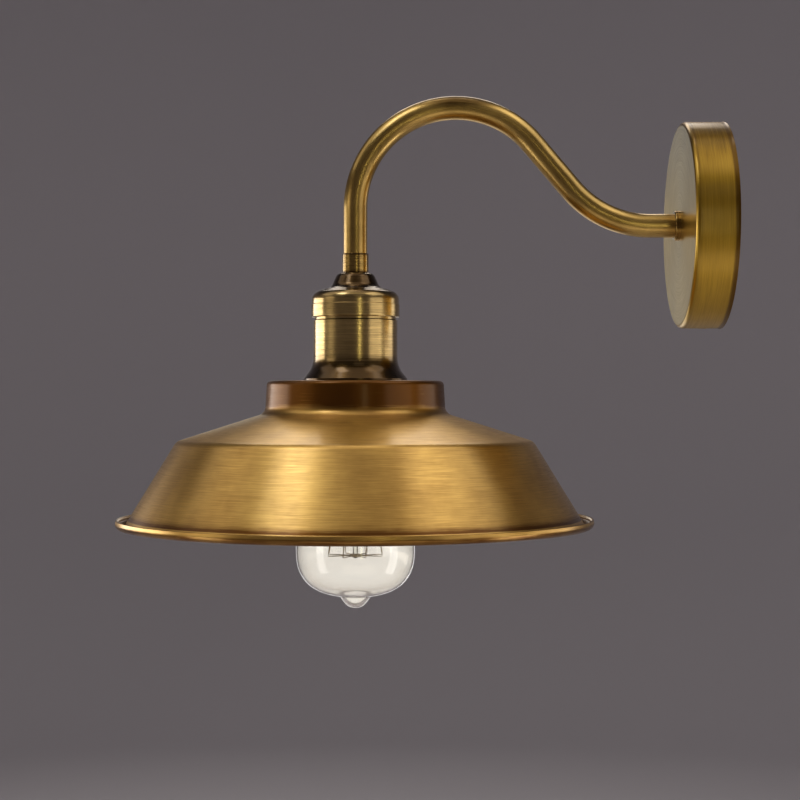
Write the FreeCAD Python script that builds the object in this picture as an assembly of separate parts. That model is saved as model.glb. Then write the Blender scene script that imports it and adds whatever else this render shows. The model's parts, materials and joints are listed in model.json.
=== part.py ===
"""Gooseneck wall sconce: a spun brass shade on a bent tube arm, fixed to a round wall canopy.

The wall is the plane Y = 0 and the light stands out towards -Y. +Z is up. The origin is the
centre of the wall canopy. All sizes are millimetres. Heights below the arm are worked out
downwards from the end of the arm, one piece after the other.
"""
import FreeCAD
import Part
import math
import os

Vec = FreeCAD.Vector

# ---- arm: a tube that leaves the wall level, climbs a slant and hooks over to point down ----
ARM_TUBE_R = 6.5
ARM_WALL = 1.0
WALL_RUN = 15.7            # straight tube in front of the canopy
REVERSE_R = 57.0           # lower bend, centreline
SLANT_ANGLE = 49.8         # degrees above level
SLANT_RUN = 32.5           # straight tube between the two bends
HOOK_R = 55.0              # upper bend, centreline
DROP_RUN = 24.8            # straight tube down to the coupler

# ---- clearances ----
THREAD_PLAY = 0.05         # between a thread and its hole
SWIVEL_PLAY = 0.08         # between turning pieces
LOOSE_PLAY = 0.3           # between pieces that only pass each other

# ---- threads and sheet ----
M10_R = 5.0
M10_BORE_R = 3.5
M5_R = 2.5
M4_R = 2.0
M3_R = 1.5
SHEET = 1.0                # spun brass of the lamp head

# ---- wall bracket ----
BRACKET_WIDTH = 20.0
BRACKET_PLATE = 2.0
BRACKET_BEND_R = 3.0
EAR_DEPTH = 15.0           # wall to the ear's front end
EAR_INSET = 5.0            # canopy's inner wall to the ear's outer face
SLOT_SPACING = 60.0        # centres of the two fixing slots
SLOT_LENGTH = 16.0
SLOT_WIDTH = 5.0
CABLE_HOLE_R = 6.0
EARTH_HOLE_Z = 14.0
EARTH_HEAD_R = 3.8
EARTH_HEAD_H = 2.4
EARTH_SLOT_WIDTH = 1.0
EARTH_SLOT_DEPTH = 1.2
EARTH_TAIL = 1.2           # screw end proud of the cup washer, towards the strap
EARTH_WASHER_R = 4.6
EARTH_WASHER = 0.8

# ---- canopy ----
CANOPY_R = 56.2
CANOPY_DEPTH = 22.8
CANOPY_SHEET = 1.2
CANOPY_EDGE_R = 2.4
CANOPY_FLARE = 0.8         # the back edge stands out by this much
CANOPY_FLARE_H = 1.6
CANOPY_FLARE_R = 1.5
GRUB_DEPTH = 10.0          # wall to the axis of the side screws
GRUB_SOCKET_R = 1.45
GRUB_SOCKET_DEPTH = 2.5
GRUB_SINK = 0.4            # screw end below the canopy's side
DOG_R = 1.7
DOG_LENGTH = 2.6
DOG_GAP = 0.6              # ear's outer face to the step of the side screw
SIDE_NUT_R = 4.5
SIDE_NUT_H = 3.2

# ---- arm root ----
FLANGE_R = 8.2
FLANGE_T = 3.0
FLANGE_EDGE_R = 0.8
INSERT_LENGTH = 12.0       # threaded plug brazed into each end of the tube
NIPPLE_GRIP = 10.0         # nipple inside the plug
ROOT_WASHER_R = 9.0
ROOT_WASHER = 1.0
ROOT_WASHER_TEETH = 8
ROOT_WASHER_GAP_R = 0.9    # round gap between two teeth
EARTH_TAG = 0.8
EARTH_TAG_R = 8.6
EARTH_TAG_REACH = 12.5
EARTH_TAG_WIDTH = 5.0
NUT_FLATS = 14.0
NUT_H = 3.0
NIPPLE_TAIL = 1.8          # nipple proud of its nut

# ---- terminal block in the canopy ----
BLOCK_X = 18.0             # arm axis to the near face
BLOCK_LENGTH = 18.0
BLOCK_DEPTH = 11.0
POLE_PITCH = 10.0
POLES = 3
BLOCK_VALLEY = 4.5         # notch between two poles, from each end of the block
BLOCK_VALLEY_HALF = 0.8
BARREL_R = 2.5
BARREL_BORE_R = 1.3
BARREL_INSET = 0.5         # barrel's end below the face of the block
CLAMP_INSET = 4.2          # block end to a clamp screw
CLAMP_R = 1.25
CLAMP_LENGTH = 4.0
CLAMP_SLOT_WIDTH = 0.6
CLAMP_SLOT_DEPTH = 0.8
ACCESS_R = 1.9
STUD_FLANGE_R = 3.0
STUD_FLANGE = 0.6
STUD_TAIL = 0.6            # stud's end proud of the block
STUD_NUT_FLATS = 5.5
STUD_NUT_H = 2.4

# ---- wires ----
LEAD_R = 1.1
LEAD_OFFSET = 1.3          # each wire's centre beside the arm's centreline
LEAD_TURN_DROP = 7.0       # nipple's root to where the wires turn towards the block
LEAD_BLOCK_RUN = 8.0       # straight run in front of the block
LEAD_GRIP = 1.0            # wire past its clamp screw
LEAD_SIDE = 4.0            # sideways shift on the way to the nipple
LEAD_CROSS = 0.6           # share of the pole's height kept on that way
LEAD_ROUND = 5.0
LEAD_END_ROUND = 3.0
EARTH_LEAD_START = 4.4     # nipple's side to the start of the earth wire
EARTH_LEAD_RUN = 3.6
HOLDER_LEAD_ROUND = 2.6

# ---- coupler, bell cap and holder cap ----
COUPLER_R = 7.15
COUPLER_H = 10.7
COUPLER_CHAMFER = 0.4
BELL_TOP_R = 7.4
BELL_TOP_EDGE_R = 0.4
BELL_WAIST_R = 13.6
BELL_R = 18.4
BELL_H = 9.6
BELL_CURVE_R = 8.0
CAP_R = 24.2
CAP_H = 14.6
CAP_ROUND_R = 5.3
CAP_BAND_H = 7.2
CAP_BEAD = 0.25            # the band stands out from the dome by this much
BRIDGE_T = 1.5
BRIDGE_WIDTH = 14.0
BRIDGE_HALF = 18.0
POST_X = 15.5              # lamp axis to each bridge screw
POST_R = 3.0
BRIDGE_SCREW_LENGTH = 11.0
BRIDGE_SCREW_HEAD_R = 2.8

# ---- holder sleeve ----
SLEEVE_R = 23.0
SLEEVE_H = 33.4
SLEEVE_GROOVE = 1.4        # gap between the cap's edge and the sleeve's shoulder
SLEEVE_NECK_R = 22.4
SLEEVE_NECK_H = 5.8
SLEEVE_THREAD_H = 2.4
SLEEVE_BEVEL = 0.5
SLEEVE_FOOT_R = 28.4
SLEEVE_FLARE_H = 7.0
SLEEVE_FLARE_R = 14.0
SLEEVE_FOOT_H = 1.2

# ---- lamp holder ----
HOLDER_R = 19.75
HOLDER_SHOULDER_R = 21.5
HOLDER_SHOULDER_H = 3.0
HOLDER_SHOULDER_BEVEL = 1.0
HOLDER_NECK_H = 9.0        # below the shade's top
CHAMBER_R = 12.5
CHAMBER_DEPTH = 10.0
HOLDER_FLOOR = 5.7         # wiring chamber to the contact pocket
TERMINAL_X0 = 5.5
TERMINAL_X1 = 12.0
TERMINAL_WIDTH = 6.0
TERMINAL_H = 7.0
STEM_X = 9.5
STEM_R = 1.5
TERMINAL_SCREW_X = 9.2
TERMINAL_SCREW_HEAD_R = 2.3
TERMINAL_SCREW_HEAD = 1.8
TERMINAL_HOLE_PLAY = 0.1   # wire to its hole
SCREW_SLOT_WIDTH = 0.7
SCREW_SLOT_DEPTH = 0.7
LEAD_SPLIT_DROP = 0.6      # below the nipple's end, where the wires change from arm to holder

# ---- bulb socket thread (27 mm Edison screw) ----
THREAD_PITCH = 3.629
THREAD_CAP_R = 12.55       # bulb cap, mean radius
THREAD_DEPTH = 0.5
THREAD_SECTIONS = 8        # circles lofted in each pitch
SOCKET_PLAY = 0.15         # bulb thread crest to socket thread crest
SOCKET_SHEET = 0.4
SOCKET_H = 24.0
SOCKET_LIP_R = 8.2
SOCKET_RIM = 0.15          # the shell's top disc stands out past the thread by this much
CONTACT_STRIP = 0.5
CONTACT_WIDTH = 5.0
CONTACT_DROP = 4.4         # strip's root to the bulb's tip
CONTACT_TIP_R = 2.2
CONTACT_HINGE_X = 6.6
CONTACT_END_GAP = 0.3
CONTACT_FLAT = 1.2         # level stretch of the sprung strip beside its root
CONTACT_LIFT = 1.2         # free height above the sprung strip
CONTACT_ROUND = 0.8
CONTACT_SIDE_PLAY = 0.6    # strip to each side of its pocket

# ---- shade ----
SHADE_SHEET = 1.0
SHADE_HOLE_R = 20.2
COLLAR_R = 48.3
COLLAR_EDGE_R = 2.5
COLLAR_FOOT_R = 49.4
COLLAR_H = 17.6
COLLAR_CREASE_R = 5.0
SHOULDER_R = 97.3
SHOULDER_DROP = 15.3
SHOULDER_ROUND_R = 6.0
SKIRT_R = 125.2
SKIRT_DROP = 45.6
SKIRT_ROUND_R = 1.4
RIM_R = 130.0              # outside of the turned-up lip
RIM_FALL = 0.5
RIM_ROUND_R = 2.0
RIM_LIP_H = 4.0
RIM_UPRIGHT_H = 2.6
RIM_LEAN = 0.6
RIM_LEAN_R = 1.0
RING_FLANGE_R = 27.0
RING_FLANGE = 2.0
RING_R = 24.0
RING_H = 6.0
RING_NOTCHES = 12
RING_NOTCH_R = 1.6
RING_EDGE_R = 0.6

# ---- bulb ----
BULB_CAP_H = 22.0          # threaded shell and skirt
BULB_SKIRT_H = 3.0
BULB_CAP_SHEET = 0.4
BULB_CAP_STEP = 0.03       # skirt's bore inside the thread's bore
BULB_TIP_R = 4.8
BULB_TIP_H = 1.5
BULB_TIP_FLAT_R = 3.2
BULB_TIP_BEVEL = 0.6
BULB_TIP_ROUND = 0.5
BULB_TIP_SEAT = 0.4        # insulator's top around the tip
BULB_INSULATOR_H = 3.5
BULB_INSULATOR_R = 11.4
BULB_SEAT = 18.0           # shade's top up to the bulb's tip
GLASS_WALL = 0.8
GLASS_NECK_R = 11.6
GLASS_THROAT_R = 14.0
GLASS_THROAT_DROP = 3.5    # cap's lower edge to the throat
GLASS_THROAT_RUN = 14.0    # height of the curve's handle below the throat
GLASS_THROAT_SPREAD = 1.2
GLASS_R = 32.5
GLASS_BELLY_RUN = 34.0     # height of the curve's handle above the widest place
GLASS_BELLY_DROP = 84.5    # cap's lower edge to the widest place
GLASS_BOTTOM_DROP = 109.2
GLASS_SIDE_HANDLE = 0.68   # how full the bottom curve is, down its side
GLASS_BOTTOM_HANDLE = 0.68  # and across its bottom
GLASS_PIP_R = 8.8          # foot of the sealing pip, where it leaves the glass
GLASS_PIP_WAIST_R = 5.4
GLASS_PIP_TIP_R = 5.2
GLASS_PIP_H = 6.1
STEM_TUBE_R = 4.0
STEM_TUBE_DROP = 24.0      # neck to the press
STEM_TUBE_ROUND = 1.5
STEM_FLARE_INSET = 1.0     # neck's top to the top of the mount
STEM_FLARE_TOP = 2.2
STEM_FLARE_FOOT = 4.0
STEM_FLARE_END = 9.0
STEM_FLARE_ROUND = 3.0
STEM_PRESS_H = 2.0
STEM_ROD_R = 1.4
STEM_ROD_DROP = 88.0
STEM_ROD_ROUND = 0.8
CAGE_TOP_DROP = 40.0
CAGE_BOTTOM_DROP = 86.5
CAGE_TOP_R = 9.0
CAGE_BOTTOM_R = 16.0
CAGE_STRANDS = 16
FILAMENT_R = 0.2
HOOK_WIRE_R = 0.25
CAGE_HUB_R = 2.4
CAGE_HUB_H = 1.6
HOOK_GAP = 0.1             # end of a hook's arm to the filament's side
LEAD_WIRE_GAP = 0.05       # end of a lead-in wire to the filament's side
LEAD_WIRE_SHIFT = 0.3      # its root beside the middle of the press
LEAD_WIRE_ROOT = 1.2       # press's top to the root

# ---- places worked out from the sizes above ----
slant = math.radians(SLANT_ANGLE)
wallBendY = -(CANOPY_DEPTH + WALL_RUN)
hookY = wallBendY - REVERSE_R * math.sin(slant) - SLANT_RUN * math.cos(slant) - HOOK_R * math.sin(slant)
lampY = hookY - HOOK_R
hookZ = REVERSE_R * (1 - math.cos(slant)) + SLANT_RUN * math.sin(slant) - HOOK_R * math.cos(slant)
armBore = ARM_TUBE_R - ARM_WALL
tubeEndZ = hookZ - DROP_RUN
bellTopZ = tubeEndZ - COUPLER_H
capTopZ = bellTopZ - BELL_H
capInsideZ = capTopZ - SHEET
bridgeLowZ = capInsideZ - BRIDGE_T
nippleEndZ = bridgeLowZ - NUT_H - NIPPLE_TAIL
leadSplitZ = nippleEndZ - LEAD_SPLIT_DROP
capBottomZ = capTopZ - CAP_H
sleeveTopZ = capBottomZ - SLEEVE_GROOVE
shadeTopZ = sleeveTopZ - SLEEVE_H
shadeUnderZ = shadeTopZ - SHADE_SHEET
holderBottomZ = shadeTopZ - HOLDER_NECK_H
bulbTipZ = shadeTopZ + BULB_SEAT
bulbCapZ = bulbTipZ - BULB_TIP_H - BULB_INSULATOR_H
bulbCapLowZ = bulbCapZ - BULB_CAP_H
socketTopZ = holderBottomZ + SOCKET_H + SOCKET_SHEET
socketMeanR = THREAD_CAP_R + 2 * THREAD_DEPTH + SOCKET_PLAY
socketOuterR = socketMeanR + THREAD_DEPTH + SOCKET_SHEET + SOCKET_RIM
contactRootZ = bulbTipZ + CONTACT_DROP + CONTACT_STRIP
chamberZ = contactRootZ + HOLDER_FLOOR
holderTopZ = chamberZ + CHAMBER_DEPTH
canopyInnerR = CANOPY_R - CANOPY_SHEET
canopyInsideDepth = CANOPY_DEPTH - CANOPY_SHEET
earZ = canopyInnerR - EAR_INSET
blockTopDepth = canopyInsideDepth - BLOCK_DEPTH
barrelDepth = canopyInsideDepth - BLOCK_DEPTH / 2
washerDepth = canopyInsideDepth - ROOT_WASHER
tagDepth = washerDepth - EARTH_TAG
nutDepth = tagDepth - NUT_H
nippleRootDepth = nutDepth - NIPPLE_TAIL
poleShift = POLE_PITCH * (POLES - 1) / 2


# ---- drawing helpers ----
def track(points, closed=False):
    """Wire of straight runs through (x, y, z, radius) corners, each rounded by a tangent arc."""
    places = [Vec(p[0], p[1], p[2]) for p in points]
    rounds = [p[3] if len(p) > 3 else 0.0 for p in points]
    count = len(places)
    stops = []
    for i in range(count):
        here = places[i]
        if rounds[i] <= 0 or (not closed and i in (0, count - 1)):
            stops.append((here, None, here))
            continue
        back = (places[i - 1] - here).normalize()
        ahead = (places[(i + 1) % count] - here).normalize()
        half = math.acos(max(-1.0, min(1.0, back.dot(ahead)))) / 2
        trim = rounds[i] / math.tan(half)
        bisector = (back + ahead).normalize()
        middle = here + bisector * (rounds[i] / math.sin(half) - rounds[i])
        stops.append((here + back * trim, middle, here + ahead * trim))
    edges = []
    for i in range(count):
        start, middle, end = stops[i]
        if middle is not None:
            edges.append(Part.Arc(start, middle, end).toShape())
        if i == count - 1 and not closed:
            break
        following = stops[(i + 1) % count][0]
        if end.distanceToPoint(following) > 1e-6:
            edges.append(Part.makeLine(end, following))
    return Part.Wire(edges)


def flat(points):
    """Profile points (across, up, radius) as points of the XZ plane."""
    return [(p[0], 0.0, p[1], p[2] if len(p) > 2 else 0.0) for p in points]


def shifted(points, gap):
    """The same profile moved sideways by gap, to the left of its own direction when positive."""
    moved = []
    count = len(points)
    for i in range(count):
        across, up = points[i][0], points[i][1]
        radius = points[i][2] if len(points[i]) > 2 else 0.0
        dirs = []
        if i > 0:
            dirs.append((across - points[i - 1][0], up - points[i - 1][1]))
        if i < count - 1:
            dirs.append((points[i + 1][0] - across, points[i + 1][1] - up))
        dirs = [(a / math.hypot(a, b), b / math.hypot(a, b)) for a, b in dirs]
        if len(dirs) == 1:
            a, b = dirs[0]
            moved.append((across - b * gap, up + a * gap, 0.0))
            continue
        (a0, b0), (a1, b1) = dirs
        turn = a0 * b1 - b0 * a1
        spread = 1 + a0 * a1 + b0 * b1
        newRadius = max(radius - gap if turn > 0 else radius + gap, 0.0) if radius > 0 else 0.0
        moved.append((across - (b0 + b1) * gap / spread, up + (a0 + a1) * gap / spread, newRadius))
    return moved


def sheetFace(points, thickness):
    """Flat section of bent sheet whose outer side is the profile, thick to the right of it."""
    inner = shifted(points, -thickness)
    return Part.Face(track(flat(list(points) + inner[::-1]), closed=True))


def turned(profile, z=0.0):
    """Solid of revolution about the Z axis from closed profile points (radius, height, round)."""
    face = profile if isinstance(profile, Part.Face) else Part.Face(track(flat(profile), closed=True))
    shape = face.revolve(Vec(0, 0, 0), Vec(0, 0, 1), 360)
    shape.translate(Vec(0, 0, z))
    return shape


def spun(points, thickness):
    return turned(sheetFace(points, thickness))


def tube(outer, inner, low, high, x=0.0, y=0.0):
    solid = Part.makeCylinder(outer, high - low, Vec(x, y, low))
    if inner > 0:
        solid = solid.cut(Part.makeCylinder(inner, high - low + 2, Vec(x, y, low - 1)))
    return solid


def hexNut(flats, low, high, bore, x=0.0, y=0.0):
    corners = []
    reach = flats / math.sqrt(3)
    for i in range(7):
        turn = math.radians(60 * i + 30)
        corners.append(Vec(x + reach * math.cos(turn), y + reach * math.sin(turn), low))
    prism = Part.Face(Part.makePolygon(corners)).extrude(Vec(0, 0, high - low))
    rounded = prism.common(tube(flats * 0.56, 0, low, high, x, y))
    return rounded.cut(Part.makeCylinder(bore, high - low + 2, Vec(x, y, low - 1)))


def box(x0, x1, y0, y1, z0, z1):
    return Part.makeBox(x1 - x0, y1 - y0, z1 - z0, Vec(x0, y0, z0))


def toWall(shape):
    """Stand a piece drawn with its depth along +Z against the wall, depth towards -Y."""
    shape.rotate(Vec(0, 0, 0), Vec(1, 0, 0), 90)
    return shape


def toLamp(shape):
    """Carry a piece drawn on the Z axis to the lamp's vertical axis."""
    shape.translate(Vec(0, lampY, 0))
    return shape


def together(shapes):
    return shapes[0] if len(shapes) == 1 else Part.makeCompound(shapes)


def wire(points, radius):
    """Round wire along a track, square to its first run."""
    path = track(points)
    first = Vec(*points[0][:3])
    heading = Vec(*points[1][:3]) - first
    ring = Part.Wire(Part.makeCircle(radius, first, heading))
    solid = path.makePipeShell([ring], True, False)
    return solid if solid.Volume > 0 else solid.reversed()


def slottedHead(shape, radius, top, width, depth, x=0.0, y=0.0):
    return shape.cut(box(x - radius - 1, x + radius + 1, y - width / 2, y + width / 2, top - depth, top + 1))


# ---- wall bracket and canopy ----
def wallBracket():
    """Steel strap with two ears bent forward; each ear has an open notch for a side screw."""
    half = earZ
    section = [(half, EAR_DEPTH), (half, 0.0, BRACKET_BEND_R), (-half, 0.0, BRACKET_BEND_R),
               (-half, EAR_DEPTH)]
    strap = sheetFace(section, BRACKET_PLATE).extrude(Vec(0, BRACKET_WIDTH, 0))
    strap.translate(Vec(0, -BRACKET_WIDTH / 2, 0))
    strap.rotate(Vec(0, 0, 0), Vec(0, 0, 1), 90)
    strap = strap.cut(tube(CABLE_HOLE_R, 0, -1, BRACKET_PLATE + 1))
    strap = strap.cut(tube(M4_R + THREAD_PLAY, 0, -1, BRACKET_PLATE + 1, 0, EARTH_HOLE_Z))
    slotR = SLOT_WIDTH / 2
    for side in (1, -1):
        middle = side * SLOT_SPACING / 2
        run = SLOT_LENGTH / 2 - slotR
        slot = box(-slotR, slotR, middle - run, middle + run, -1, BRACKET_PLATE + 1)
        for end in (run, -run):
            slot = slot.fuse(tube(slotR, 0, -1, BRACKET_PLATE + 1, 0, middle + end))
        strap = strap.cut(slot)
        notch = DOG_R + LOOSE_PLAY
        ear = (half - BRACKET_PLATE - 1, half + 1)
        low, high = (ear[0], ear[1]) if side > 0 else (-ear[1], -ear[0])
        strap = strap.cut(box(-notch, notch, low, high, GRUB_DEPTH, EAR_DEPTH + 1))
        bore = Part.makeCylinder(notch, high - low, Vec(0, low, GRUB_DEPTH), Vec(0, 1, 0))
        strap = strap.cut(bore)
    return toWall(strap)


def earthScrew():
    low = BRACKET_PLATE + EARTH_WASHER
    shank = tube(M4_R, 0, BRACKET_PLATE - EARTH_TAIL, low, 0, EARTH_HOLE_Z)
    head = tube(EARTH_HEAD_R, 0, low, low + EARTH_HEAD_H, 0, EARTH_HOLE_Z)
    screw = shank.fuse(head).removeSplitter()
    screw = slottedHead(screw, EARTH_HEAD_R, low + EARTH_HEAD_H, EARTH_SLOT_WIDTH, EARTH_SLOT_DEPTH, 0, EARTH_HOLE_Z)
    return toWall(screw)


def earthWasher():
    low = BRACKET_PLATE
    ring = tube(EARTH_WASHER_R, M4_R + THREAD_PLAY, low, low + EARTH_WASHER, 0, EARTH_HOLE_Z)
    return toWall(ring)


def canopy():
    hole = M10_R + THREAD_PLAY
    profile = [(hole, CANOPY_DEPTH), (CANOPY_R, CANOPY_DEPTH, CANOPY_EDGE_R), (CANOPY_R, CANOPY_FLARE_H, CANOPY_FLARE_R),
               (CANOPY_R + CANOPY_FLARE, 0.0)]
    cup = spun(profile, CANOPY_SHEET)
    floor = Part.makeBox(4 * CANOPY_R, 4 * CANOPY_R, CANOPY_R, Vec(-2 * CANOPY_R, -2 * CANOPY_R, -CANOPY_R))
    cup = cup.cut(floor)
    for side in (1, -1):
        bore = Part.makeCylinder(M5_R + THREAD_PLAY, CANOPY_R, Vec(0, 0, GRUB_DEPTH), Vec(0, side, 0))
        cup = cup.cut(bore)
    return toWall(cup)


def sideScrew(side):
    top = CANOPY_R - GRUB_SINK
    dogTop = earZ + DOG_GAP
    outEnd = Vec(0, side * top, GRUB_DEPTH)
    step = Vec(0, side * dogTop, GRUB_DEPTH)
    body = Part.makeCylinder(M5_R, top - dogTop, step, Vec(0, side, 0))
    dog = Part.makeCylinder(DOG_R, DOG_LENGTH, step, Vec(0, -side, 0))
    socket = Part.makeCylinder(GRUB_SOCKET_R, GRUB_SOCKET_DEPTH, outEnd, Vec(0, -side, 0))
    return body.fuse(dog).removeSplitter().cut(socket)


def sideNut(side):
    """Round insert brazed to the inside of the canopy; its outer end follows the curved wall."""
    inner = canopyInnerR - SIDE_NUT_H
    blank = Part.makeCylinder(SIDE_NUT_R, SIDE_NUT_H + 1, Vec(0, side * inner, GRUB_DEPTH), Vec(0, side, 0))
    blank = blank.common(tube(canopyInnerR, 0, 0, CANOPY_DEPTH))
    bore = Part.makeCylinder(M5_R + THREAD_PLAY, CANOPY_R, Vec(0, 0, GRUB_DEPTH), Vec(0, side, 0))
    return blank.cut(bore)


def canopyScrews():
    return toWall(together([sideScrew(1), sideScrew(-1)]))


def canopyNuts():
    return toWall(together([sideNut(1), sideNut(-1)]))


# ---- arm and its root ----
def armTrack(x, startDepth, endZ):
    """Centreline of the arm in the plane X = x, from the wall side down to the lamp side."""
    bendLow = Vec(x, wallBendY, 0)
    centreLow = Vec(x, wallBendY, REVERSE_R)
    centreHigh = Vec(x, hookY, hookZ)

    def onLow(angle):
        return centreLow + Vec(0, -REVERSE_R * math.sin(angle), -REVERSE_R * math.cos(angle))

    def onHigh(angle):
        return centreHigh + Vec(0, HOOK_R * math.cos(angle), HOOK_R * math.sin(angle))

    leave = math.pi / 2 - slant
    edges = [Part.makeLine(Vec(x, -startDepth, 0), bendLow)]
    edges.append(Part.Arc(bendLow, onLow(slant / 2), onLow(slant)).toShape())
    edges.append(Part.makeLine(onLow(slant), onHigh(leave)))
    edges.append(Part.Arc(onHigh(leave), onHigh((leave + math.pi) / 2), onHigh(math.pi)).toShape())
    edges.append(Part.makeLine(onHigh(math.pi), Vec(x, lampY, endZ)))
    return edges


def sweep(edges, radius, start, heading):
    ring = Part.Wire(Part.makeCircle(radius, start, heading))
    return Part.Wire(edges).makePipeShell([ring], True, False)


def armTube():
    edges = armTrack(0, CANOPY_DEPTH, tubeEndZ)
    start = Vec(0, -CANOPY_DEPTH, 0)
    outer = sweep(edges, ARM_TUBE_R, start, Vec(0, -1, 0))
    bore = sweep(edges, armBore, start, Vec(0, -1, 0))
    shell = outer.cut(bore)
    length = sum(edge.Length for edge in edges)
    expected = math.pi * (ARM_TUBE_R ** 2 - armBore ** 2) * length
    print("arm tube: centreline %.1f mm, volume %.0f of %.0f mm3" % (length, shell.Volume, expected))
    return shell


def armFlange():
    bore = ARM_TUBE_R + THREAD_PLAY
    front = CANOPY_DEPTH + FLANGE_T
    ring = turned([(bore, CANOPY_DEPTH), (FLANGE_R, CANOPY_DEPTH), (FLANGE_R, front, FLANGE_EDGE_R), (bore, front)])
    return toWall(ring)


def rootInsert():
    return toWall(tube(armBore, M10_R + THREAD_PLAY, CANOPY_DEPTH, CANOPY_DEPTH + INSERT_LENGTH))


def rootNipple():
    return toWall(tube(M10_R, M10_BORE_R, nippleRootDepth, CANOPY_DEPTH + NIPPLE_GRIP))


def rootWasher():
    ring = tube(ROOT_WASHER_R, M10_R + THREAD_PLAY, washerDepth, canopyInsideDepth)
    for i in range(ROOT_WASHER_TEETH):
        turn = 2 * math.pi * i / ROOT_WASHER_TEETH
        gap = tube(ROOT_WASHER_GAP_R, 0, washerDepth - 1, canopyInsideDepth + 1,
                   ROOT_WASHER_R * math.cos(turn), ROOT_WASHER_R * math.sin(turn))
        ring = ring.cut(gap)
    return toWall(ring)


def earthTag():
    """Ring tag on the nipple, with a tongue towards the terminal block for the earth wire."""
    tag = tube(EARTH_TAG_R, 0, tagDepth, washerDepth)
    tag = tag.fuse(box(0, EARTH_TAG_REACH, -EARTH_TAG_WIDTH / 2, EARTH_TAG_WIDTH / 2, tagDepth, washerDepth))
    tag = tag.removeSplitter().cut(tube(M10_R + THREAD_PLAY, 0, tagDepth - 1, washerDepth + 1))
    return toWall(tag)


def rootNut():
    return toWall(hexNut(NUT_FLATS, nutDepth, tagDepth, M10_R + THREAD_PLAY))


# ---- terminal block ----
def poleHeights():
    return [POLE_PITCH * i - poleShift for i in range(POLES)]


def studHeight():
    return POLE_PITCH / 2


def terminalHousing():
    halfLength = POLE_PITCH * POLES / 2
    farX = BLOCK_X + BLOCK_LENGTH
    block = box(BLOCK_X, farX, -halfLength, halfLength, blockTopDepth, canopyInsideDepth)
    for height in poleHeights():
        start = Vec(BLOCK_X - 1, height, barrelDepth)
        block = block.cut(Part.makeCylinder(BARREL_R + THREAD_PLAY, BLOCK_LENGTH + 2, start, Vec(1, 0, 0)))
        for x in clampPlaces():
            block = block.cut(tube(ACCESS_R, 0, blockTopDepth - 1, barrelDepth, x, height))
    for i in range(POLES - 1):
        valley = poleHeights()[i] + POLE_PITCH / 2
        for x0, x1 in ((BLOCK_X - 1, BLOCK_X + BLOCK_VALLEY), (farX - BLOCK_VALLEY, farX + 1)):
            block = block.cut(box(x0, x1, valley - BLOCK_VALLEY_HALF, valley + BLOCK_VALLEY_HALF,
                                  blockTopDepth - 1, canopyInsideDepth + 1))
    x = BLOCK_X + BLOCK_LENGTH / 2
    block = block.cut(tube(M3_R + THREAD_PLAY, 0, 0, CANOPY_DEPTH, x, studHeight()))
    block = block.cut(tube(STUD_FLANGE_R + THREAD_PLAY, 0, canopyInsideDepth - STUD_FLANGE - THREAD_PLAY,
                           CANOPY_DEPTH, x, studHeight()))
    sink = blockTopDepth + STUD_NUT_H
    pocketR = STUD_NUT_FLATS / math.sqrt(3) + LOOSE_PLAY
    block = block.cut(tube(pocketR, 0, 0, sink, x, studHeight()))
    return toWall(block)


def clampPlaces():
    return (BLOCK_X + CLAMP_INSET, BLOCK_X + BLOCK_LENGTH - CLAMP_INSET)


def terminalBarrels():
    barrels = []
    for height in poleHeights():
        start = Vec(BLOCK_X + BARREL_INSET, height, barrelDepth)
        barrel = Part.makeCylinder(BARREL_R, BLOCK_LENGTH - 2 * BARREL_INSET, start, Vec(1, 0, 0))
        barrel = barrel.cut(Part.makeCylinder(BARREL_BORE_R, BLOCK_LENGTH, start, Vec(1, 0, 0)))
        for x in clampPlaces():
            barrel = barrel.cut(tube(CLAMP_R + THREAD_PLAY, 0, blockTopDepth, barrelDepth, x, height))
        barrels.append(barrel)
    return toWall(together(barrels))


def clampScrews():
    screws = []
    for height in poleHeights():
        for x in clampPlaces():
            end = barrelDepth - LEAD_R
            screw = tube(CLAMP_R, 0, end - CLAMP_LENGTH, end, x, height)
            top = end - CLAMP_LENGTH
            slot = box(x - ACCESS_R, x + ACCESS_R, height - CLAMP_SLOT_WIDTH / 2, height + CLAMP_SLOT_WIDTH / 2,
                       top - 1, top + CLAMP_SLOT_DEPTH)
            screws.append(screw.cut(slot))
    return toWall(together(screws))


def terminalStud():
    x = BLOCK_X + BLOCK_LENGTH / 2
    flange = tube(STUD_FLANGE_R, 0, canopyInsideDepth - STUD_FLANGE, canopyInsideDepth, x, studHeight())
    shank = tube(M3_R, 0, blockTopDepth - STUD_TAIL, canopyInsideDepth - STUD_FLANGE, x, studHeight())
    return toWall(flange.fuse(shank).removeSplitter())


def terminalNut():
    x = BLOCK_X + BLOCK_LENGTH / 2
    return toWall(hexNut(STUD_NUT_FLATS, blockTopDepth, blockTopDepth + STUD_NUT_H, M3_R + THREAD_PLAY,
                         x, studHeight()))


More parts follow.
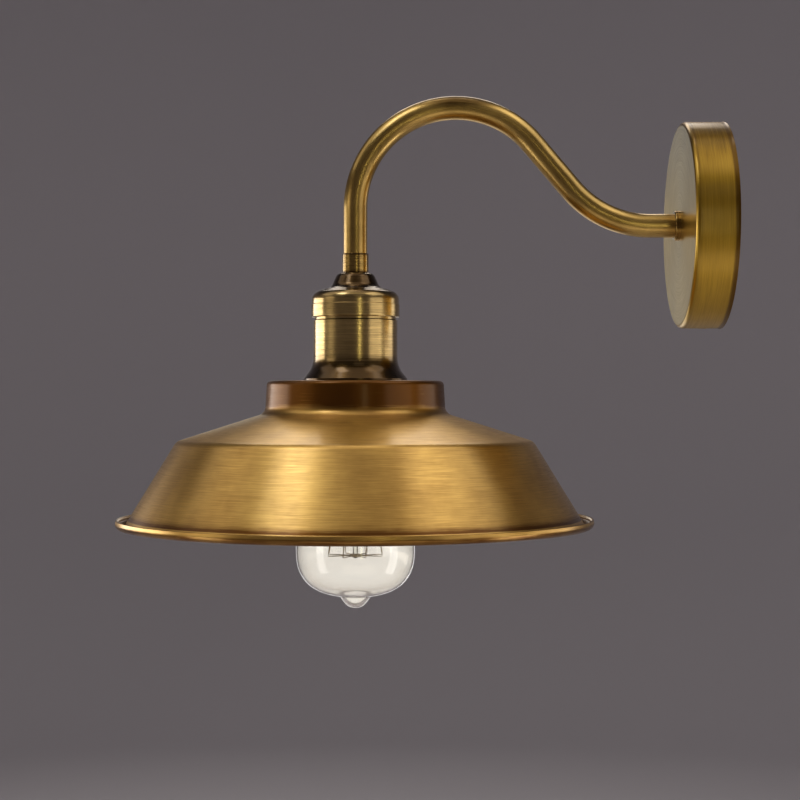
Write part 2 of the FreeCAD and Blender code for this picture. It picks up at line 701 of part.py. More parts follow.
# ---- wires ----
def armLead(side):
    """Wire from the terminal block through the nipple and the whole arm to the lamp holder."""
    x = side * LEAD_OFFSET
    pole = side * poleShift
    turnDepth = nippleRootDepth - LEAD_TURN_DROP
    runUp = (BLOCK_X - LEAD_BLOCK_RUN, -barrelDepth, pole, LEAD_ROUND)
    inBlock = (BLOCK_X + CLAMP_INSET + LEAD_GRIP, -barrelDepth, pole)
    crossing = (x + LEAD_SIDE, -turnDepth, LEAD_CROSS * pole, LEAD_ROUND)
    corner = (x, -turnDepth, 0.0, LEAD_END_ROUND)
    inside = track([inBlock, runUp, crossing, corner, (x, -CANOPY_DEPTH, 0.0)])
    path = inside.Edges + armTrack(x, CANOPY_DEPTH, leadSplitZ)
    ring = Part.Wire(Part.makeCircle(LEAD_R, Vec(*inBlock), Vec(-1, 0, 0)))
    solid = Part.Wire(path).makePipeShell([ring], True, False)
    length = sum(edge.Length for edge in path)
    print("arm wire: length %.0f mm, volume %.0f of %.0f mm3"
          % (length, solid.Volume, math.pi * LEAD_R ** 2 * length))
    return solid


def earthLead():
    depth = tagDepth - LEAD_R
    start = M10_R + EARTH_LEAD_START
    points = [(start, -depth, 0), (start + EARTH_LEAD_RUN, -depth, 0, LEAD_END_ROUND),
              (BLOCK_X - LEAD_GRIP, -barrelDepth, 0, LEAD_END_ROUND),
              (BLOCK_X + CLAMP_INSET + LEAD_GRIP, -barrelDepth, 0)]
    return wire(points, LEAD_R)


def holderLead(side):
    """Short wire from below the nipple into its terminal; it turns with the holder."""
    x = side * LEAD_OFFSET
    height = chamberZ + TERMINAL_H / 2
    points = [(x, lampY, leadSplitZ), (x, lampY, height, HOLDER_LEAD_ROUND), (side * TERMINAL_SCREW_X, lampY, height)]
    return wire(points, LEAD_R)


# ---- arm tip, coupler and lamp head ----
def tipInsert():
    return toLamp(tube(armBore, M10_R + THREAD_PLAY, tubeEndZ, tubeEndZ + INSERT_LENGTH))


def tipNipple():
    return toLamp(tube(M10_R, M10_BORE_R, nippleEndZ, tubeEndZ + NIPPLE_GRIP))


def coupler():
    bore = M10_R + THREAD_PLAY
    edge = COUPLER_CHAMFER
    return toLamp(turned([(bore, bellTopZ), (COUPLER_R - edge, bellTopZ), (COUPLER_R, bellTopZ + edge),
                          (COUPLER_R, tubeEndZ - edge), (COUPLER_R - edge, tubeEndZ), (bore, tubeEndZ)]))


def tipNut():
    return toLamp(hexNut(NUT_FLATS, bridgeLowZ - NUT_H, bridgeLowZ, M10_R + THREAD_PLAY))


def bellCap():
    """Spun trumpet-shaped cap whose sheet edge stands on the dome; it turns on the nipple."""
    lip = capTopZ + SHEET
    profile = [(M10_R + SWIVEL_PLAY, bellTopZ), (BELL_TOP_R, bellTopZ, BELL_TOP_EDGE_R),
               (BELL_WAIST_R, lip, BELL_CURVE_R), (BELL_R, lip)]
    return toLamp(spun(profile, SHEET))


def holderCap():
    bore = M10_R + SWIVEL_PLAY
    dome = CAP_R - CAP_BEAD
    bandTop = capBottomZ + CAP_BAND_H
    profile = [(bore, capTopZ), (dome, capTopZ, CAP_ROUND_R), (dome, bandTop), (CAP_R, bandTop - CAP_BEAD),
               (CAP_R, capBottomZ)]
    return toLamp(spun(profile, SHEET))


def holderBridge():
    """Steel bar under the dome that carries the lamp holder."""
    bar = tube(BRIDGE_HALF, 0, bridgeLowZ, capInsideZ)
    half = BRIDGE_WIDTH / 2
    bar = bar.common(box(-BRIDGE_HALF, BRIDGE_HALF, -half, half, bridgeLowZ, capInsideZ))
    bar = bar.cut(tube(M10_R + SWIVEL_PLAY, 0, bridgeLowZ - 1, capInsideZ + 1))
    for x in (POST_X, -POST_X):
        bar = bar.cut(bridgeScrew(x, THREAD_PLAY, 1.0))
    return toLamp(bar)


def bridgeScrew(x, play=0.0, over=0.0):
    """Countersunk screw flush with the bar; grown by play it cuts its own seat."""
    head = BRIDGE_SCREW_HEAD_R + play
    shank = M3_R + play
    cone = capInsideZ - (BRIDGE_SCREW_HEAD_R - M3_R)
    end = capInsideZ - BRIDGE_SCREW_LENGTH - over
    screw = turned([(0, end), (shank, end), (shank, cone), (head, capInsideZ), (0, capInsideZ)])
    if over > 0:
        screw = screw.fuse(tube(head, 0, capInsideZ, capInsideZ + over))
    screw.translate(Vec(x, 0, 0))
    return screw


def bridgeScrews():
    screws = []
    for x in (POST_X, -POST_X):
        screw = bridgeScrew(x)
        screws.append(slottedHead(screw, BRIDGE_SCREW_HEAD_R, capInsideZ, SCREW_SLOT_WIDTH, SCREW_SLOT_DEPTH, x, 0))
    return toLamp(together(screws))


def holderSleeve():
    """Spun sleeve: threaded neck inside the cap, plain body, flared foot standing on the shade."""
    thread = CAP_R - SHEET - THREAD_PLAY
    neckTop = capBottomZ + SLEEVE_NECK_H
    threadLow = neckTop - SLEEVE_THREAD_H
    flareZ = shadeTopZ + SLEEVE_FOOT_H + SLEEVE_FLARE_H
    profile = [(thread, neckTop), (thread, threadLow), (SLEEVE_NECK_R, threadLow - SLEEVE_BEVEL),
               (SLEEVE_NECK_R, sleeveTopZ), (SLEEVE_R, sleeveTopZ - SLEEVE_BEVEL), (SLEEVE_R, flareZ, SLEEVE_FLARE_R),
               (SLEEVE_FOOT_R, shadeTopZ + SLEEVE_FOOT_H), (SLEEVE_FOOT_R, shadeTopZ)]
    return toLamp(spun(profile, SHEET))


def holderInsulator():
    """Moulded lamp holder: wiring chamber on top, contact pocket, socket cavity, threaded neck."""
    body = turned([(0, holderBottomZ), (HOLDER_R, holderBottomZ), (HOLDER_R, shadeTopZ),
                   (HOLDER_SHOULDER_R, shadeTopZ), (HOLDER_SHOULDER_R, shadeTopZ + HOLDER_SHOULDER_H),
                   (HOLDER_R, shadeTopZ + HOLDER_SHOULDER_H + HOLDER_SHOULDER_BEVEL), (HOLDER_R, holderTopZ), (0, holderTopZ)])
    for x in (POST_X, -POST_X):
        body = body.fuse(tube(POST_R, 0, holderTopZ - 1, bridgeLowZ, x, 0))
    body = body.removeSplitter()
    body = body.cut(tube(CHAMBER_R, 0, chamberZ, holderTopZ + 1))
    body = body.cut(tube(SOCKET_LIP_R, 0, holderBottomZ, contactRootZ + CONTACT_LIFT))
    pocket = CONTACT_WIDTH / 2 + CONTACT_SIDE_PLAY
    body = body.cut(box(0, TERMINAL_X1 + CONTACT_SIDE_PLAY, -pocket, pocket, socketTopZ - 1, contactRootZ))
    body = body.cut(tube(socketOuterR + THREAD_PLAY, 0, holderBottomZ - 1, socketTopZ))
    for side in (1, -1):
        body = body.cut(tube(STEM_R + THREAD_PLAY, 0, socketTopZ - 1, chamberZ + 1, side * STEM_X, 0))
        drill = capInsideZ - BRIDGE_SCREW_LENGTH - 1
        body = body.cut(tube(M3_R + THREAD_PLAY, 0, drill, bridgeLowZ + 1, side * POST_X, 0))
    return toLamp(body)


def terminal(side, stemEnd):
    """Brass pillar with a wire hole and a clamp screw hole; its stem goes down through the floor."""
    x0, x1 = (TERMINAL_X0, TERMINAL_X1) if side > 0 else (-TERMINAL_X1, -TERMINAL_X0)
    top = chamberZ + TERMINAL_H
    pillar = box(x0, x1, -TERMINAL_WIDTH / 2, TERMINAL_WIDTH / 2, chamberZ, top)
    pillar = pillar.common(tube(CHAMBER_R - THREAD_PLAY, 0, chamberZ, top))
    pillar = pillar.fuse(tube(STEM_R, 0, stemEnd, chamberZ, side * STEM_X, 0)).removeSplitter()
    height = chamberZ + TERMINAL_H / 2
    pillar = pillar.cut(Part.makeCylinder(LEAD_R + TERMINAL_HOLE_PLAY, TERMINAL_X1, Vec(0, 0, height), Vec(side, 0, 0)))
    pillar = pillar.cut(tube(M3_R + THREAD_PLAY, 0, height, top + 1, side * TERMINAL_SCREW_X, 0))
    return toLamp(pillar)


def terminalScrews():
    screws = []
    top = chamberZ + TERMINAL_H
    headTop = top + TERMINAL_SCREW_HEAD
    wireTop = chamberZ + TERMINAL_H / 2 + LEAD_R
    for side in (1, -1):
        x = side * TERMINAL_SCREW_X
        head = tube(TERMINAL_SCREW_HEAD_R, 0, top, headTop, x, 0)
        screw = tube(M3_R, 0, wireTop, top, x, 0).fuse(head).removeSplitter()
        screws.append(slottedHead(screw, TERMINAL_SCREW_HEAD_R, headTop, SCREW_SLOT_WIDTH, SCREW_SLOT_DEPTH, x, 0))
    return toLamp(together(screws))


def contactBase():
    """Fixed root of the centre contact, under the live terminal's stem."""
    x0 = CONTACT_HINGE_X + CONTACT_END_GAP / 2
    half = CONTACT_WIDTH / 2
    return toLamp(box(x0, TERMINAL_X1, -half, half, contactRootZ - CONTACT_STRIP, contactRootZ))


def contactLeaf():
    """Sprung strip that slopes from the root down to the lamp axis, with a domed tip."""
    half = CONTACT_WIDTH / 2
    x0 = CONTACT_HINGE_X - CONTACT_END_GAP / 2
    tipTop = bulbTipZ + CONTACT_STRIP
    section = [(x0, contactRootZ), (x0 - CONTACT_FLAT, contactRootZ, CONTACT_ROUND), (CONTACT_TIP_R, tipTop, CONTACT_ROUND),
               (-CONTACT_TIP_R, tipTop)]
    strip = sheetFace(section[::-1], CONTACT_STRIP).extrude(Vec(0, CONTACT_WIDTH, 0))
    strip.translate(Vec(0, -half, 0))
    return toLamp(strip)


# ---- screw threads of the bulb and its socket ----
def threadCore(radius, low, high):
    """Rolled thread: a circle of the mean radius whose centre circles the axis once a pitch."""
    sections = []
    steps = int(round((high - low) / THREAD_PITCH * THREAD_SECTIONS))
    for i in range(steps + 1):
        z = low + (high - low) * i / steps
        turn = 2 * math.pi * z / THREAD_PITCH
        centre = Vec(THREAD_DEPTH * math.cos(turn), THREAD_DEPTH * math.sin(turn), z)
        sections.append(Part.Wire(Part.makeCircle(radius, centre, Vec(0, 0, 1))))
    return Part.makeLoft(sections, True, True)


def screwShell():
    top = socketTopZ - SOCKET_SHEET
    outer = threadCore(socketMeanR + SOCKET_SHEET, holderBottomZ, top)
    outer = outer.fuse(tube(socketOuterR, 0, top, socketTopZ))
    inner = threadCore(socketMeanR, holderBottomZ, top)
    shell = outer.cut(inner).cut(tube(SOCKET_LIP_R, 0, top - 1, socketTopZ + 1))
    return toLamp(shell)


# ---- shade ----
def shade():
    """Spun shade: flat top, collar, shallow cone, shoulder, steep skirt and a turned-up lip."""
    creaseZ = shadeTopZ - COLLAR_H
    shoulderZ = creaseZ - SHOULDER_DROP
    skirtZ = shoulderZ - SKIRT_DROP
    lipR = RIM_R - SHADE_SHEET
    profile = [(SHADE_HOLE_R, shadeTopZ), (COLLAR_R, shadeTopZ, COLLAR_EDGE_R),
               (COLLAR_FOOT_R, creaseZ, COLLAR_CREASE_R), (SHOULDER_R, shoulderZ, SHOULDER_ROUND_R),
               (SKIRT_R, skirtZ, SKIRT_ROUND_R), (lipR, skirtZ - RIM_FALL, RIM_ROUND_R),
               (lipR, skirtZ - RIM_FALL + RIM_UPRIGHT_H, RIM_LEAN_R),
               (lipR - RIM_LEAN, skirtZ - RIM_FALL + RIM_LIP_H)]
    return toLamp(spun(profile, SHADE_SHEET))


def shadeRing():
    """Threaded ring under the shade's top, notched for the fingers."""
    bore = HOLDER_R + SWIVEL_PLAY
    ring = turned([(bore, shadeUnderZ - RING_H), (RING_R, shadeUnderZ - RING_H, RING_EDGE_R),
                   (RING_R, shadeUnderZ - RING_FLANGE), (RING_FLANGE_R, shadeUnderZ - RING_FLANGE, RING_EDGE_R),
                   (RING_FLANGE_R, shadeUnderZ), (bore, shadeUnderZ)])
    for i in range(RING_NOTCHES):
        turn = 2 * math.pi * i / RING_NOTCHES
        x, y = RING_R * math.cos(turn), RING_R * math.sin(turn)
        ring = ring.cut(tube(RING_NOTCH_R, 0, shadeUnderZ - RING_H - 1, shadeUnderZ - RING_FLANGE, x, y))
    return toLamp(ring)


# ---- bulb ----
def bulbContact():
    return toLamp(turned([(0, bulbTipZ - BULB_TIP_H), (BULB_TIP_R, bulbTipZ - BULB_TIP_H),
                          (BULB_TIP_R, bulbTipZ - BULB_TIP_BEVEL, BULB_TIP_ROUND), (BULB_TIP_FLAT_R, bulbTipZ), (0, bulbTipZ)]))


def bulbInsulator():
    low = bulbCapZ
    return toLamp(turned([(0, low), (BULB_INSULATOR_R, low), (BULB_TIP_R + BULB_TIP_SEAT, bulbTipZ - BULB_TIP_H),
                          (0, bulbTipZ - BULB_TIP_H)]))


def bulbCap():
    """Threaded metal cap with a plain skirt; the glass neck is cemented inside it."""
    threadLow = bulbCapLowZ + BULB_SKIRT_H
    outer = threadCore(THREAD_CAP_R, threadLow, bulbCapZ)
    skirt = tube(THREAD_CAP_R, 0, bulbCapLowZ, threadLow)
    inner = threadCore(THREAD_CAP_R - BULB_CAP_SHEET, threadLow, bulbCapZ - BULB_CAP_SHEET)
    skirtBore = THREAD_CAP_R - BULB_CAP_SHEET - THREAD_DEPTH - BULB_CAP_STEP
    inner = inner.fuse(tube(skirtBore, 0, bulbCapLowZ - 1, threadLow))
    return toLamp(outer.fuse(skirt).cut(inner))


def glassProfile(offset):
    """Half outline of the pear-shaped glass: straight neck, long swelling side, round bottom."""
    neckTop = bulbCapLowZ + BULB_SKIRT_H * 2
    throatZ = bulbCapLowZ - GLASS_THROAT_DROP
    bellyZ = bulbCapLowZ - GLASS_BELLY_DROP
    bottomZ = bulbCapLowZ - GLASS_BOTTOM_DROP + offset
    neck = GLASS_NECK_R - offset
    throat = GLASS_THROAT_R - offset
    belly = GLASS_R - offset
    poles = [Vec(throat, 0, throatZ), Vec(throat + GLASS_THROAT_SPREAD, 0, throatZ - GLASS_THROAT_RUN),
             Vec(belly, 0, bellyZ + GLASS_BELLY_RUN), Vec(belly, 0, bellyZ)]
    side = Part.BezierCurve()
    side.setPoles(poles)
    low = Part.BezierCurve()
    sideHandle = (bellyZ - bottomZ) * GLASS_SIDE_HANDLE
    low.setPoles([Vec(belly, 0, bellyZ), Vec(belly, 0, bellyZ - sideHandle),
                  Vec(belly * GLASS_BOTTOM_HANDLE, 0, bottomZ), Vec(0, 0, bottomZ)])
    neckEdge = Part.makeLine(Vec(neck, 0, neckTop), Vec(neck, 0, bulbCapLowZ))
    flare = Part.makeLine(Vec(neck, 0, bulbCapLowZ), Vec(throat, 0, throatZ))
    return [neckEdge, flare, side.toShape(), low.toShape()], neckTop, bottomZ


def glassBody(offset):
    edges, top, bottom = glassProfile(offset)
    neck = GLASS_NECK_R - offset
    edges.append(Part.makeLine(Vec(0, 0, bottom), Vec(0, 0, top)))
    edges.append(Part.makeLine(Vec(0, 0, top), Vec(neck, 0, top)))
    face = Part.Face(Part.Wire(edges))
    return face.revolve(Vec(0, 0, 0), Vec(0, 0, 1), 360)


def bulbGlass():
    """Blown glass shell, drawn out below into its sealing pip, open at the neck."""
    bottom = bulbCapLowZ - GLASS_BOTTOM_DROP
    root, tip = bottom + GLASS_WALL, bottom - GLASS_PIP_H
    side = Part.BezierCurve()
    side.setPoles([Vec(GLASS_PIP_R, 0, root), Vec(GLASS_PIP_WAIST_R, 0, bottom), Vec(GLASS_PIP_TIP_R, 0, tip),
                   Vec(0, 0, tip)])
    edges = [side.toShape(), Part.makeLine(Vec(0, 0, tip), Vec(0, 0, root)),
             Part.makeLine(Vec(0, 0, root), Vec(GLASS_PIP_R, 0, root))]
    pip = turned(Part.Face(Part.Wire(edges)))
    return toLamp(glassBody(0.0).fuse(pip).cut(glassBody(GLASS_WALL)))


def stemTop():
    return bulbCapLowZ + BULB_SKIRT_H * 2 - STEM_FLARE_INSET


def bulbStem():
    """Glass mount: flare sealed in the neck, press tube and a long centre rod."""
    top = stemTop()
    flareR = GLASS_NECK_R - GLASS_WALL
    press = top - STEM_TUBE_DROP
    rodEnd = bulbCapLowZ - STEM_ROD_DROP
    profile = [(0, top - STEM_FLARE_TOP), (flareR, top - STEM_FLARE_TOP), (flareR, top - STEM_FLARE_FOOT),
               (STEM_TUBE_R, top - STEM_FLARE_END, STEM_FLARE_ROUND), (STEM_TUBE_R, press, STEM_TUBE_ROUND),
               (STEM_ROD_R, press - STEM_PRESS_H), (STEM_ROD_R, rodEnd, STEM_ROD_ROUND), (0, rodEnd)]
    return toLamp(turned(profile))


def cagePoint(index, upper):
    turn = 2 * math.pi * index / CAGE_STRANDS
    radius = CAGE_TOP_R if upper else CAGE_BOTTOM_R
    drop = CAGE_TOP_DROP if upper else CAGE_BOTTOM_DROP
    return Vec(radius * math.cos(turn), radius * math.sin(turn), bulbCapLowZ - drop)


def rod(start, end, radius):
    return Part.makeCylinder(radius, (end - start).Length, start, end - start)


def filament():
    """Squirrel-cage filament: one wire zigzagging between the upper and the lower hooks."""
    strands = []
    for i in range(CAGE_STRANDS - 1):
        start = cagePoint(i, i % 2 == 0)
        end = cagePoint(i + 1, i % 2 == 1)
        strands.append(rod(start, end, FILAMENT_R))
    for i in range(CAGE_STRANDS):
        strands.append(Part.makeSphere(FILAMENT_R, cagePoint(i, i % 2 == 0)))
    cage = strands[0].multiFuse(strands[1:])
    return toLamp(cage)


def hookStar(upper):
    """Hub on the centre rod with one arm of wire to each bend of the filament."""
    drop = CAGE_TOP_DROP if upper else CAGE_BOTTOM_DROP
    z = bulbCapLowZ - drop
    hub = tube(CAGE_HUB_R, 0, z - CAGE_HUB_H / 2, z + CAGE_HUB_H / 2)
    arms = []
    for i in range(0 if upper else 1, CAGE_STRANDS, 2):
        tip = cagePoint(i, upper)
        inward = Vec(tip.x, tip.y, 0).normalize()
        arms.append(rod(Vec(0, 0, z), tip - inward * (FILAMENT_R + HOOK_GAP), HOOK_WIRE_R))
    star = hub.multiFuse(arms)
    return toLamp(star.cut(tube(STEM_ROD_R, 0, z - CAGE_HUB_H, z + CAGE_HUB_H)))


def bulbLeadWires():
    """Two lead-in wires from the press to the ends of the filament."""
    press = stemTop() - STEM_TUBE_DROP
    wires = []
    for index in (0, CAGE_STRANDS - 1):
        upper = index % 2 == 0
        tip = cagePoint(index, upper)
        inward = Vec(tip.x, tip.y, 0).normalize()
        end = tip + inward * (FILAMENT_R + HOOK_WIRE_R + LEAD_WIRE_GAP)
        side = inward * ((STEM_TUBE_R + STEM_ROD_R) / 2 + LEAD_WIRE_SHIFT)
        start = Vec(side.x, side.y, press - LEAD_WIRE_ROOT)
        wires.append(rod(start, end, HOOK_WIRE_R))
    return toLamp(together(wires))


# ---- write every piece ----
PIECES = {
    "wall_bracket": wallBracket,
    "bracket_earth_screw": earthScrew, "bracket_earth_washer": earthWasher,
    "canopy": canopy, "canopy_screws": canopyScrews, "canopy_nuts": canopyNuts,
    "arm_flange": armFlange, "arm_tube": armTube,
    "arm_root_insert": rootInsert, "arm_root_nipple": rootNipple,
    "root_lock_washer": rootWasher, "root_earth_tag": earthTag, "root_lock_nut": rootNut,
    "terminal_housing": terminalHousing, "terminal_barrels": terminalBarrels,
    "terminal_clamp_screws": clampScrews, "terminal_stud": terminalStud, "terminal_stud_nut": terminalNut,
    "arm_live_wire": lambda: armLead(1), "arm_neutral_wire": lambda: armLead(-1),
    "canopy_earth_wire": earthLead,
    "arm_tip_insert": tipInsert, "arm_tip_nipple": tipNipple,
    "coupler": coupler, "tip_lock_nut": tipNut,
    "bell_cap": bellCap, "holder_cap": holderCap,
    "holder_bridge": holderBridge, "bridge_screws": bridgeScrews,
    "holder_sleeve": holderSleeve, "holder_insulator": holderInsulator,
    "live_terminal": lambda: terminal(1, contactRootZ),
    "neutral_terminal": lambda: terminal(-1, socketTopZ),
    "holder_terminal_screws": terminalScrews,
    "holder_live_wire": lambda: holderLead(1), "holder_neutral_wire": lambda: holderLead(-1),
    "contact_base": contactBase, "contact_leaf": contactLeaf, "screw_shell": screwShell,
    "shade": shade, "shade_ring": shadeRing,
    "bulb_contact": bulbContact, "bulb_cap_insulator": bulbInsulator, "bulb_cap": bulbCap,
    "bulb_glass": bulbGlass, "bulb_stem": bulbStem, "bulb_lead_wires": bulbLeadWires,
    "filament_upper_hooks": lambda: hookStar(True), "filament_lower_hooks": lambda: hookStar(False),
    "filament": filament,
}

os.makedirs("parts", exist_ok=True)
print("lamp axis at y = %.2f mm, arm end at z = %.2f mm, shade top at z = %.2f mm"
      % (lampY, tubeEndZ, shadeTopZ))
for name, make in PIECES.items():
    shape = make()
    shape.exportStep("parts/%s.step" % name)
    facts = (name, len(shape.Solids), shape.Volume, shape.isValid())
    print("%-24s solids %2d  volume %10.1f  valid %s" % facts)
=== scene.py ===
import json
import math

import bmesh
import bpy
import numpy as np
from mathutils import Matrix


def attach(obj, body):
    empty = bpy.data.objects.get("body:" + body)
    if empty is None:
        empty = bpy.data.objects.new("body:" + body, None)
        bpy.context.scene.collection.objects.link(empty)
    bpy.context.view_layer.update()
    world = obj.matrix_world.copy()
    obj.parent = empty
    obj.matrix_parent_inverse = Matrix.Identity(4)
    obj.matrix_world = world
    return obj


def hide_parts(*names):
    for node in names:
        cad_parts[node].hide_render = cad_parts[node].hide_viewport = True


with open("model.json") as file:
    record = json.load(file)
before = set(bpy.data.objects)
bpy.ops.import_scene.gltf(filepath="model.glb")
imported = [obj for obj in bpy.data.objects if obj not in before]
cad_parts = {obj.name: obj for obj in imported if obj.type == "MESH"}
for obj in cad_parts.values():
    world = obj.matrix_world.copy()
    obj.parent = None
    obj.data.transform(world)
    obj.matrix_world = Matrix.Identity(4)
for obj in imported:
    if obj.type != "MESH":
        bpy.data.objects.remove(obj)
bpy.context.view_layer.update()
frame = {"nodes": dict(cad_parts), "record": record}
print("frame loaded with", len(frame["nodes"]), "nodes")

# heights and places shared by the pieces, in millimetres; the lamp's own axis is upright at y = lampY
lampY = -200.02
canopyDepth = 22.8
tubeEnd = -15.27
bellTop = -25.97
capTop = -35.57
capBottom = -50.17
sleeveTop = -51.57
shadeTop = -84.97
bulbCapLow = -93.97


def toLinear(hexColour):
    # sRGB to linear light: c / 12.92 when dark, else ((c + 0.055) / 1.055) to the power 2.4
    c = np.array([int(hexColour[i:i + 2], 16) for i in (1, 3, 5)]) / 255
    linear = np.where(c <= 0.04045, c / 12.92, ((c + 0.055) / 1.055) ** 2.4)
    return (*linear.tolist(), 1.0)


def unit(v):
    return v / np.linalg.norm(v)


def roundOff(corners, closed=False, arcStep=5.0, support=0.35):
    # straight runs through (across, up, radius) corners, each corner swapped for the arc that touches
    # both runs; a row just inside each end of a long run keeps its shading flat
    points = np.array([c[:2] for c in corners], float)
    rows = []
    for i, here in enumerate(points):
        radius = corners[i][2] if len(corners[i]) > 2 else 0.0
        if radius <= 0 or (not closed and i in (0, len(points) - 1)):
            rows.append(here[None])
            continue
        back = unit(points[i - 1] - here)
        ahead = unit(points[(i + 1) % len(points)] - here)
        half = math.acos(float(np.clip(back @ ahead, -1, 1))) / 2
        middle = here + unit(back + ahead) * radius / math.sin(half)
        start = here + back * radius / math.tan(half) - middle
        end = here + ahead * radius / math.tan(half) - middle
        first = math.atan2(start[1], start[0])
        sweep = (math.atan2(end[1], end[0]) - first + math.pi) % (2 * math.pi) - math.pi
        angle = first + np.linspace(0, sweep, max(3, math.ceil(abs(math.degrees(sweep)) / arcStep) + 1))
        rows.append(middle + radius * np.stack([np.cos(angle), np.sin(angle)], 1))
    outline = np.concatenate(rows)
    following = np.roll(outline, -1, 0) if closed else np.append(outline[1:], outline[-1:], 0)
    step = following - outline
    length = np.linalg.norm(step, axis=1)
    keep = length > 1e-6
    keep[-1] |= not closed
    spaced = []
    for here, run, size in zip(outline[keep], step[keep], length[keep]):
        spaced.append(here)
        if size > 6 * support:
            spaced += [here + run * support / size, here + run * (1 - support / size)]
    return np.array(spaced)


def shifted(corners, gap):
    # the same corners moved sideways by gap, to the left of their own direction; arcs keep their centres
    moved = []
    for i, corner in enumerate(corners):
        here = np.array(corner[:2], float)
        radius = corner[2] if len(corner) > 2 else 0.0
        runs = []
        if i > 0:
            runs.append(unit(here - corners[i - 1][:2]))
        if i < len(corners) - 1:
            runs.append(unit(np.array(corners[i + 1][:2]) - here))
        before, after = runs[0], runs[-1]
        turn = before[0] * after[1] - before[1] * after[0]
        side = np.array([-(before[1] + after[1]), before[0] + after[0]]) * gap / (1 + before @ after)
        grown = radius - gap if turn > 0 else radius + gap
        moved.append((*(here + side), max(grown, 0.0) if radius > 0 else 0.0))
    return moved


def gridMesh(name, grid, v, aroundCount, closedRows):
    # a grid of points, rows along the profile and columns around, joined to its neighbours; each
    # face's corners take u from the share of the turn and v from the length along the profile, in metres
    rows, columns = grid.shape[:2]
    i = np.arange(rows if closedRows else rows - 1)[:, None]
    j = np.arange(aroundCount)[None]
    nextRow, nextColumn = (i + 1) % rows, (j + 1) % columns
    quads = np.stack([i * columns + j, i * columns + nextColumn,
                      nextRow * columns + nextColumn, nextRow * columns + j], -1).reshape(-1, 4)
    vNext = np.append(v[1:], v[-1] + np.linalg.norm(grid[0, 0] - grid[-1, 0]) / 1000)[:len(i)]
    flat = np.ones_like(j, float)
    uv = np.stack([np.stack([j / aroundCount + 0 * i, v[:len(i), None] * flat], -1),
                   np.stack([(j + 1) / aroundCount + 0 * i, v[:len(i), None] * flat], -1),
                   np.stack([(j + 1) / aroundCount + 0 * i, vNext[:, None] * flat], -1),
                   np.stack([j / aroundCount + 0 * i, vNext[:, None] * flat], -1)], 2)
    points = grid.reshape(-1, 3) / 1000
    a, b, c, d = (points[quads[:, k]] for k in range(4))
    volume = (np.einsum("ij,ij->i", a, np.cross(b, c)) + np.einsum("ij,ij->i", a, np.cross(c, d))).sum()
    order = [0, 1, 2, 3] if volume > 0 else [3, 2, 1, 0]   # faces point outwards when the volume is positive
    mesh = bpy.data.meshes.new(name)
    mesh.from_pydata(points, [], quads[:, order].tolist())
    layer = mesh.uv_layers.new(name="UVMap")
    layer.data.foreach_set("uv", uv.reshape(-1, 4, 2)[:, order].astype(np.float32).ravel())
    return mesh


def finishMesh(name, mesh, body, material, replaced=(), sharp=32.0):
    # poles are merged to one point, edges steeper than the sharp angle stay crisp
    work = bmesh.new()
    work.from_mesh(mesh)
    bmesh.ops.remove_doubles(work, verts=work.verts, dist=1e-7)
    work.to_mesh(mesh)
    work.free()
    mesh.shade_smooth()
    mesh.set_sharp_from_angle(angle=math.radians(sharp))
    mesh.materials.append(material)
    piece = bpy.data.objects.new(name, mesh)
    bpy.context.scene.collection.objects.link(piece)
    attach(piece, body)
    if replaced:
        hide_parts(*replaced)


def lathe(name, outline, columns, closedRows=True, toPlace=None):
    # a profile carried round an axis: x = r cos a, y = r sin a, z = height, then moved to its own axis
    angle = np.arange(columns) * 2 * math.pi / columns
    r, z = outline[:, 0][:, None], outline[:, 1][:, None]
    grid = np.stack([r * np.cos(angle), r * np.sin(angle), z + 0 * angle], -1)
    steps = np.linalg.norm(np.diff(outline, axis=0), axis=1)
    v = np.append(0, np.cumsum(steps)) / 1000
    return gridMesh(name, (toPlace or atLamp)(grid), v, columns, closedRows)


def atLamp(grid):
    return grid + np.array([0, lampY, 0])


def atWall(grid):
    # heights of a wall piece are depths in front of the wall: (x, y, z) becomes (x, -z, y)
    return np.stack([grid[..., 0], -grid[..., 2], grid[..., 1]], -1)


def sheet(corners, thickness, edge=0.25, hem=None):
    # bent sheet: the outer side, then the inner side back, with its two cut edges slightly broken;
    # a hem (extra width, height) is the last edge turned over outwards, broadly rounded on its outer side
    inner = shifted(corners, -thickness)[::-1]
    outer = [tuple(c) for c in corners]
    last = [(*outer[-1][:2], edge), (*inner[0][:2], edge)]
    if hem:
        end, other = np.array(outer[-1][:2], float), np.array(inner[0][:2], float)
        foot = end + unit(np.array(outer[-2][:2]) - end) * hem[1]
        aside = unit(end - other) * hem[0]
        broadRound = (thickness + hem[0]) * 0.7
        last = [(*foot, 0.1), (*(foot + aside), 0.3), (*(end + aside), broadRound), (*other, 0.3)]
    loop = [(*outer[0][:2], edge), *outer[1:-1], *last, *inner[1:-1], (*inner[-1][:2], edge)]
    return roundOff(loop, closed=True)


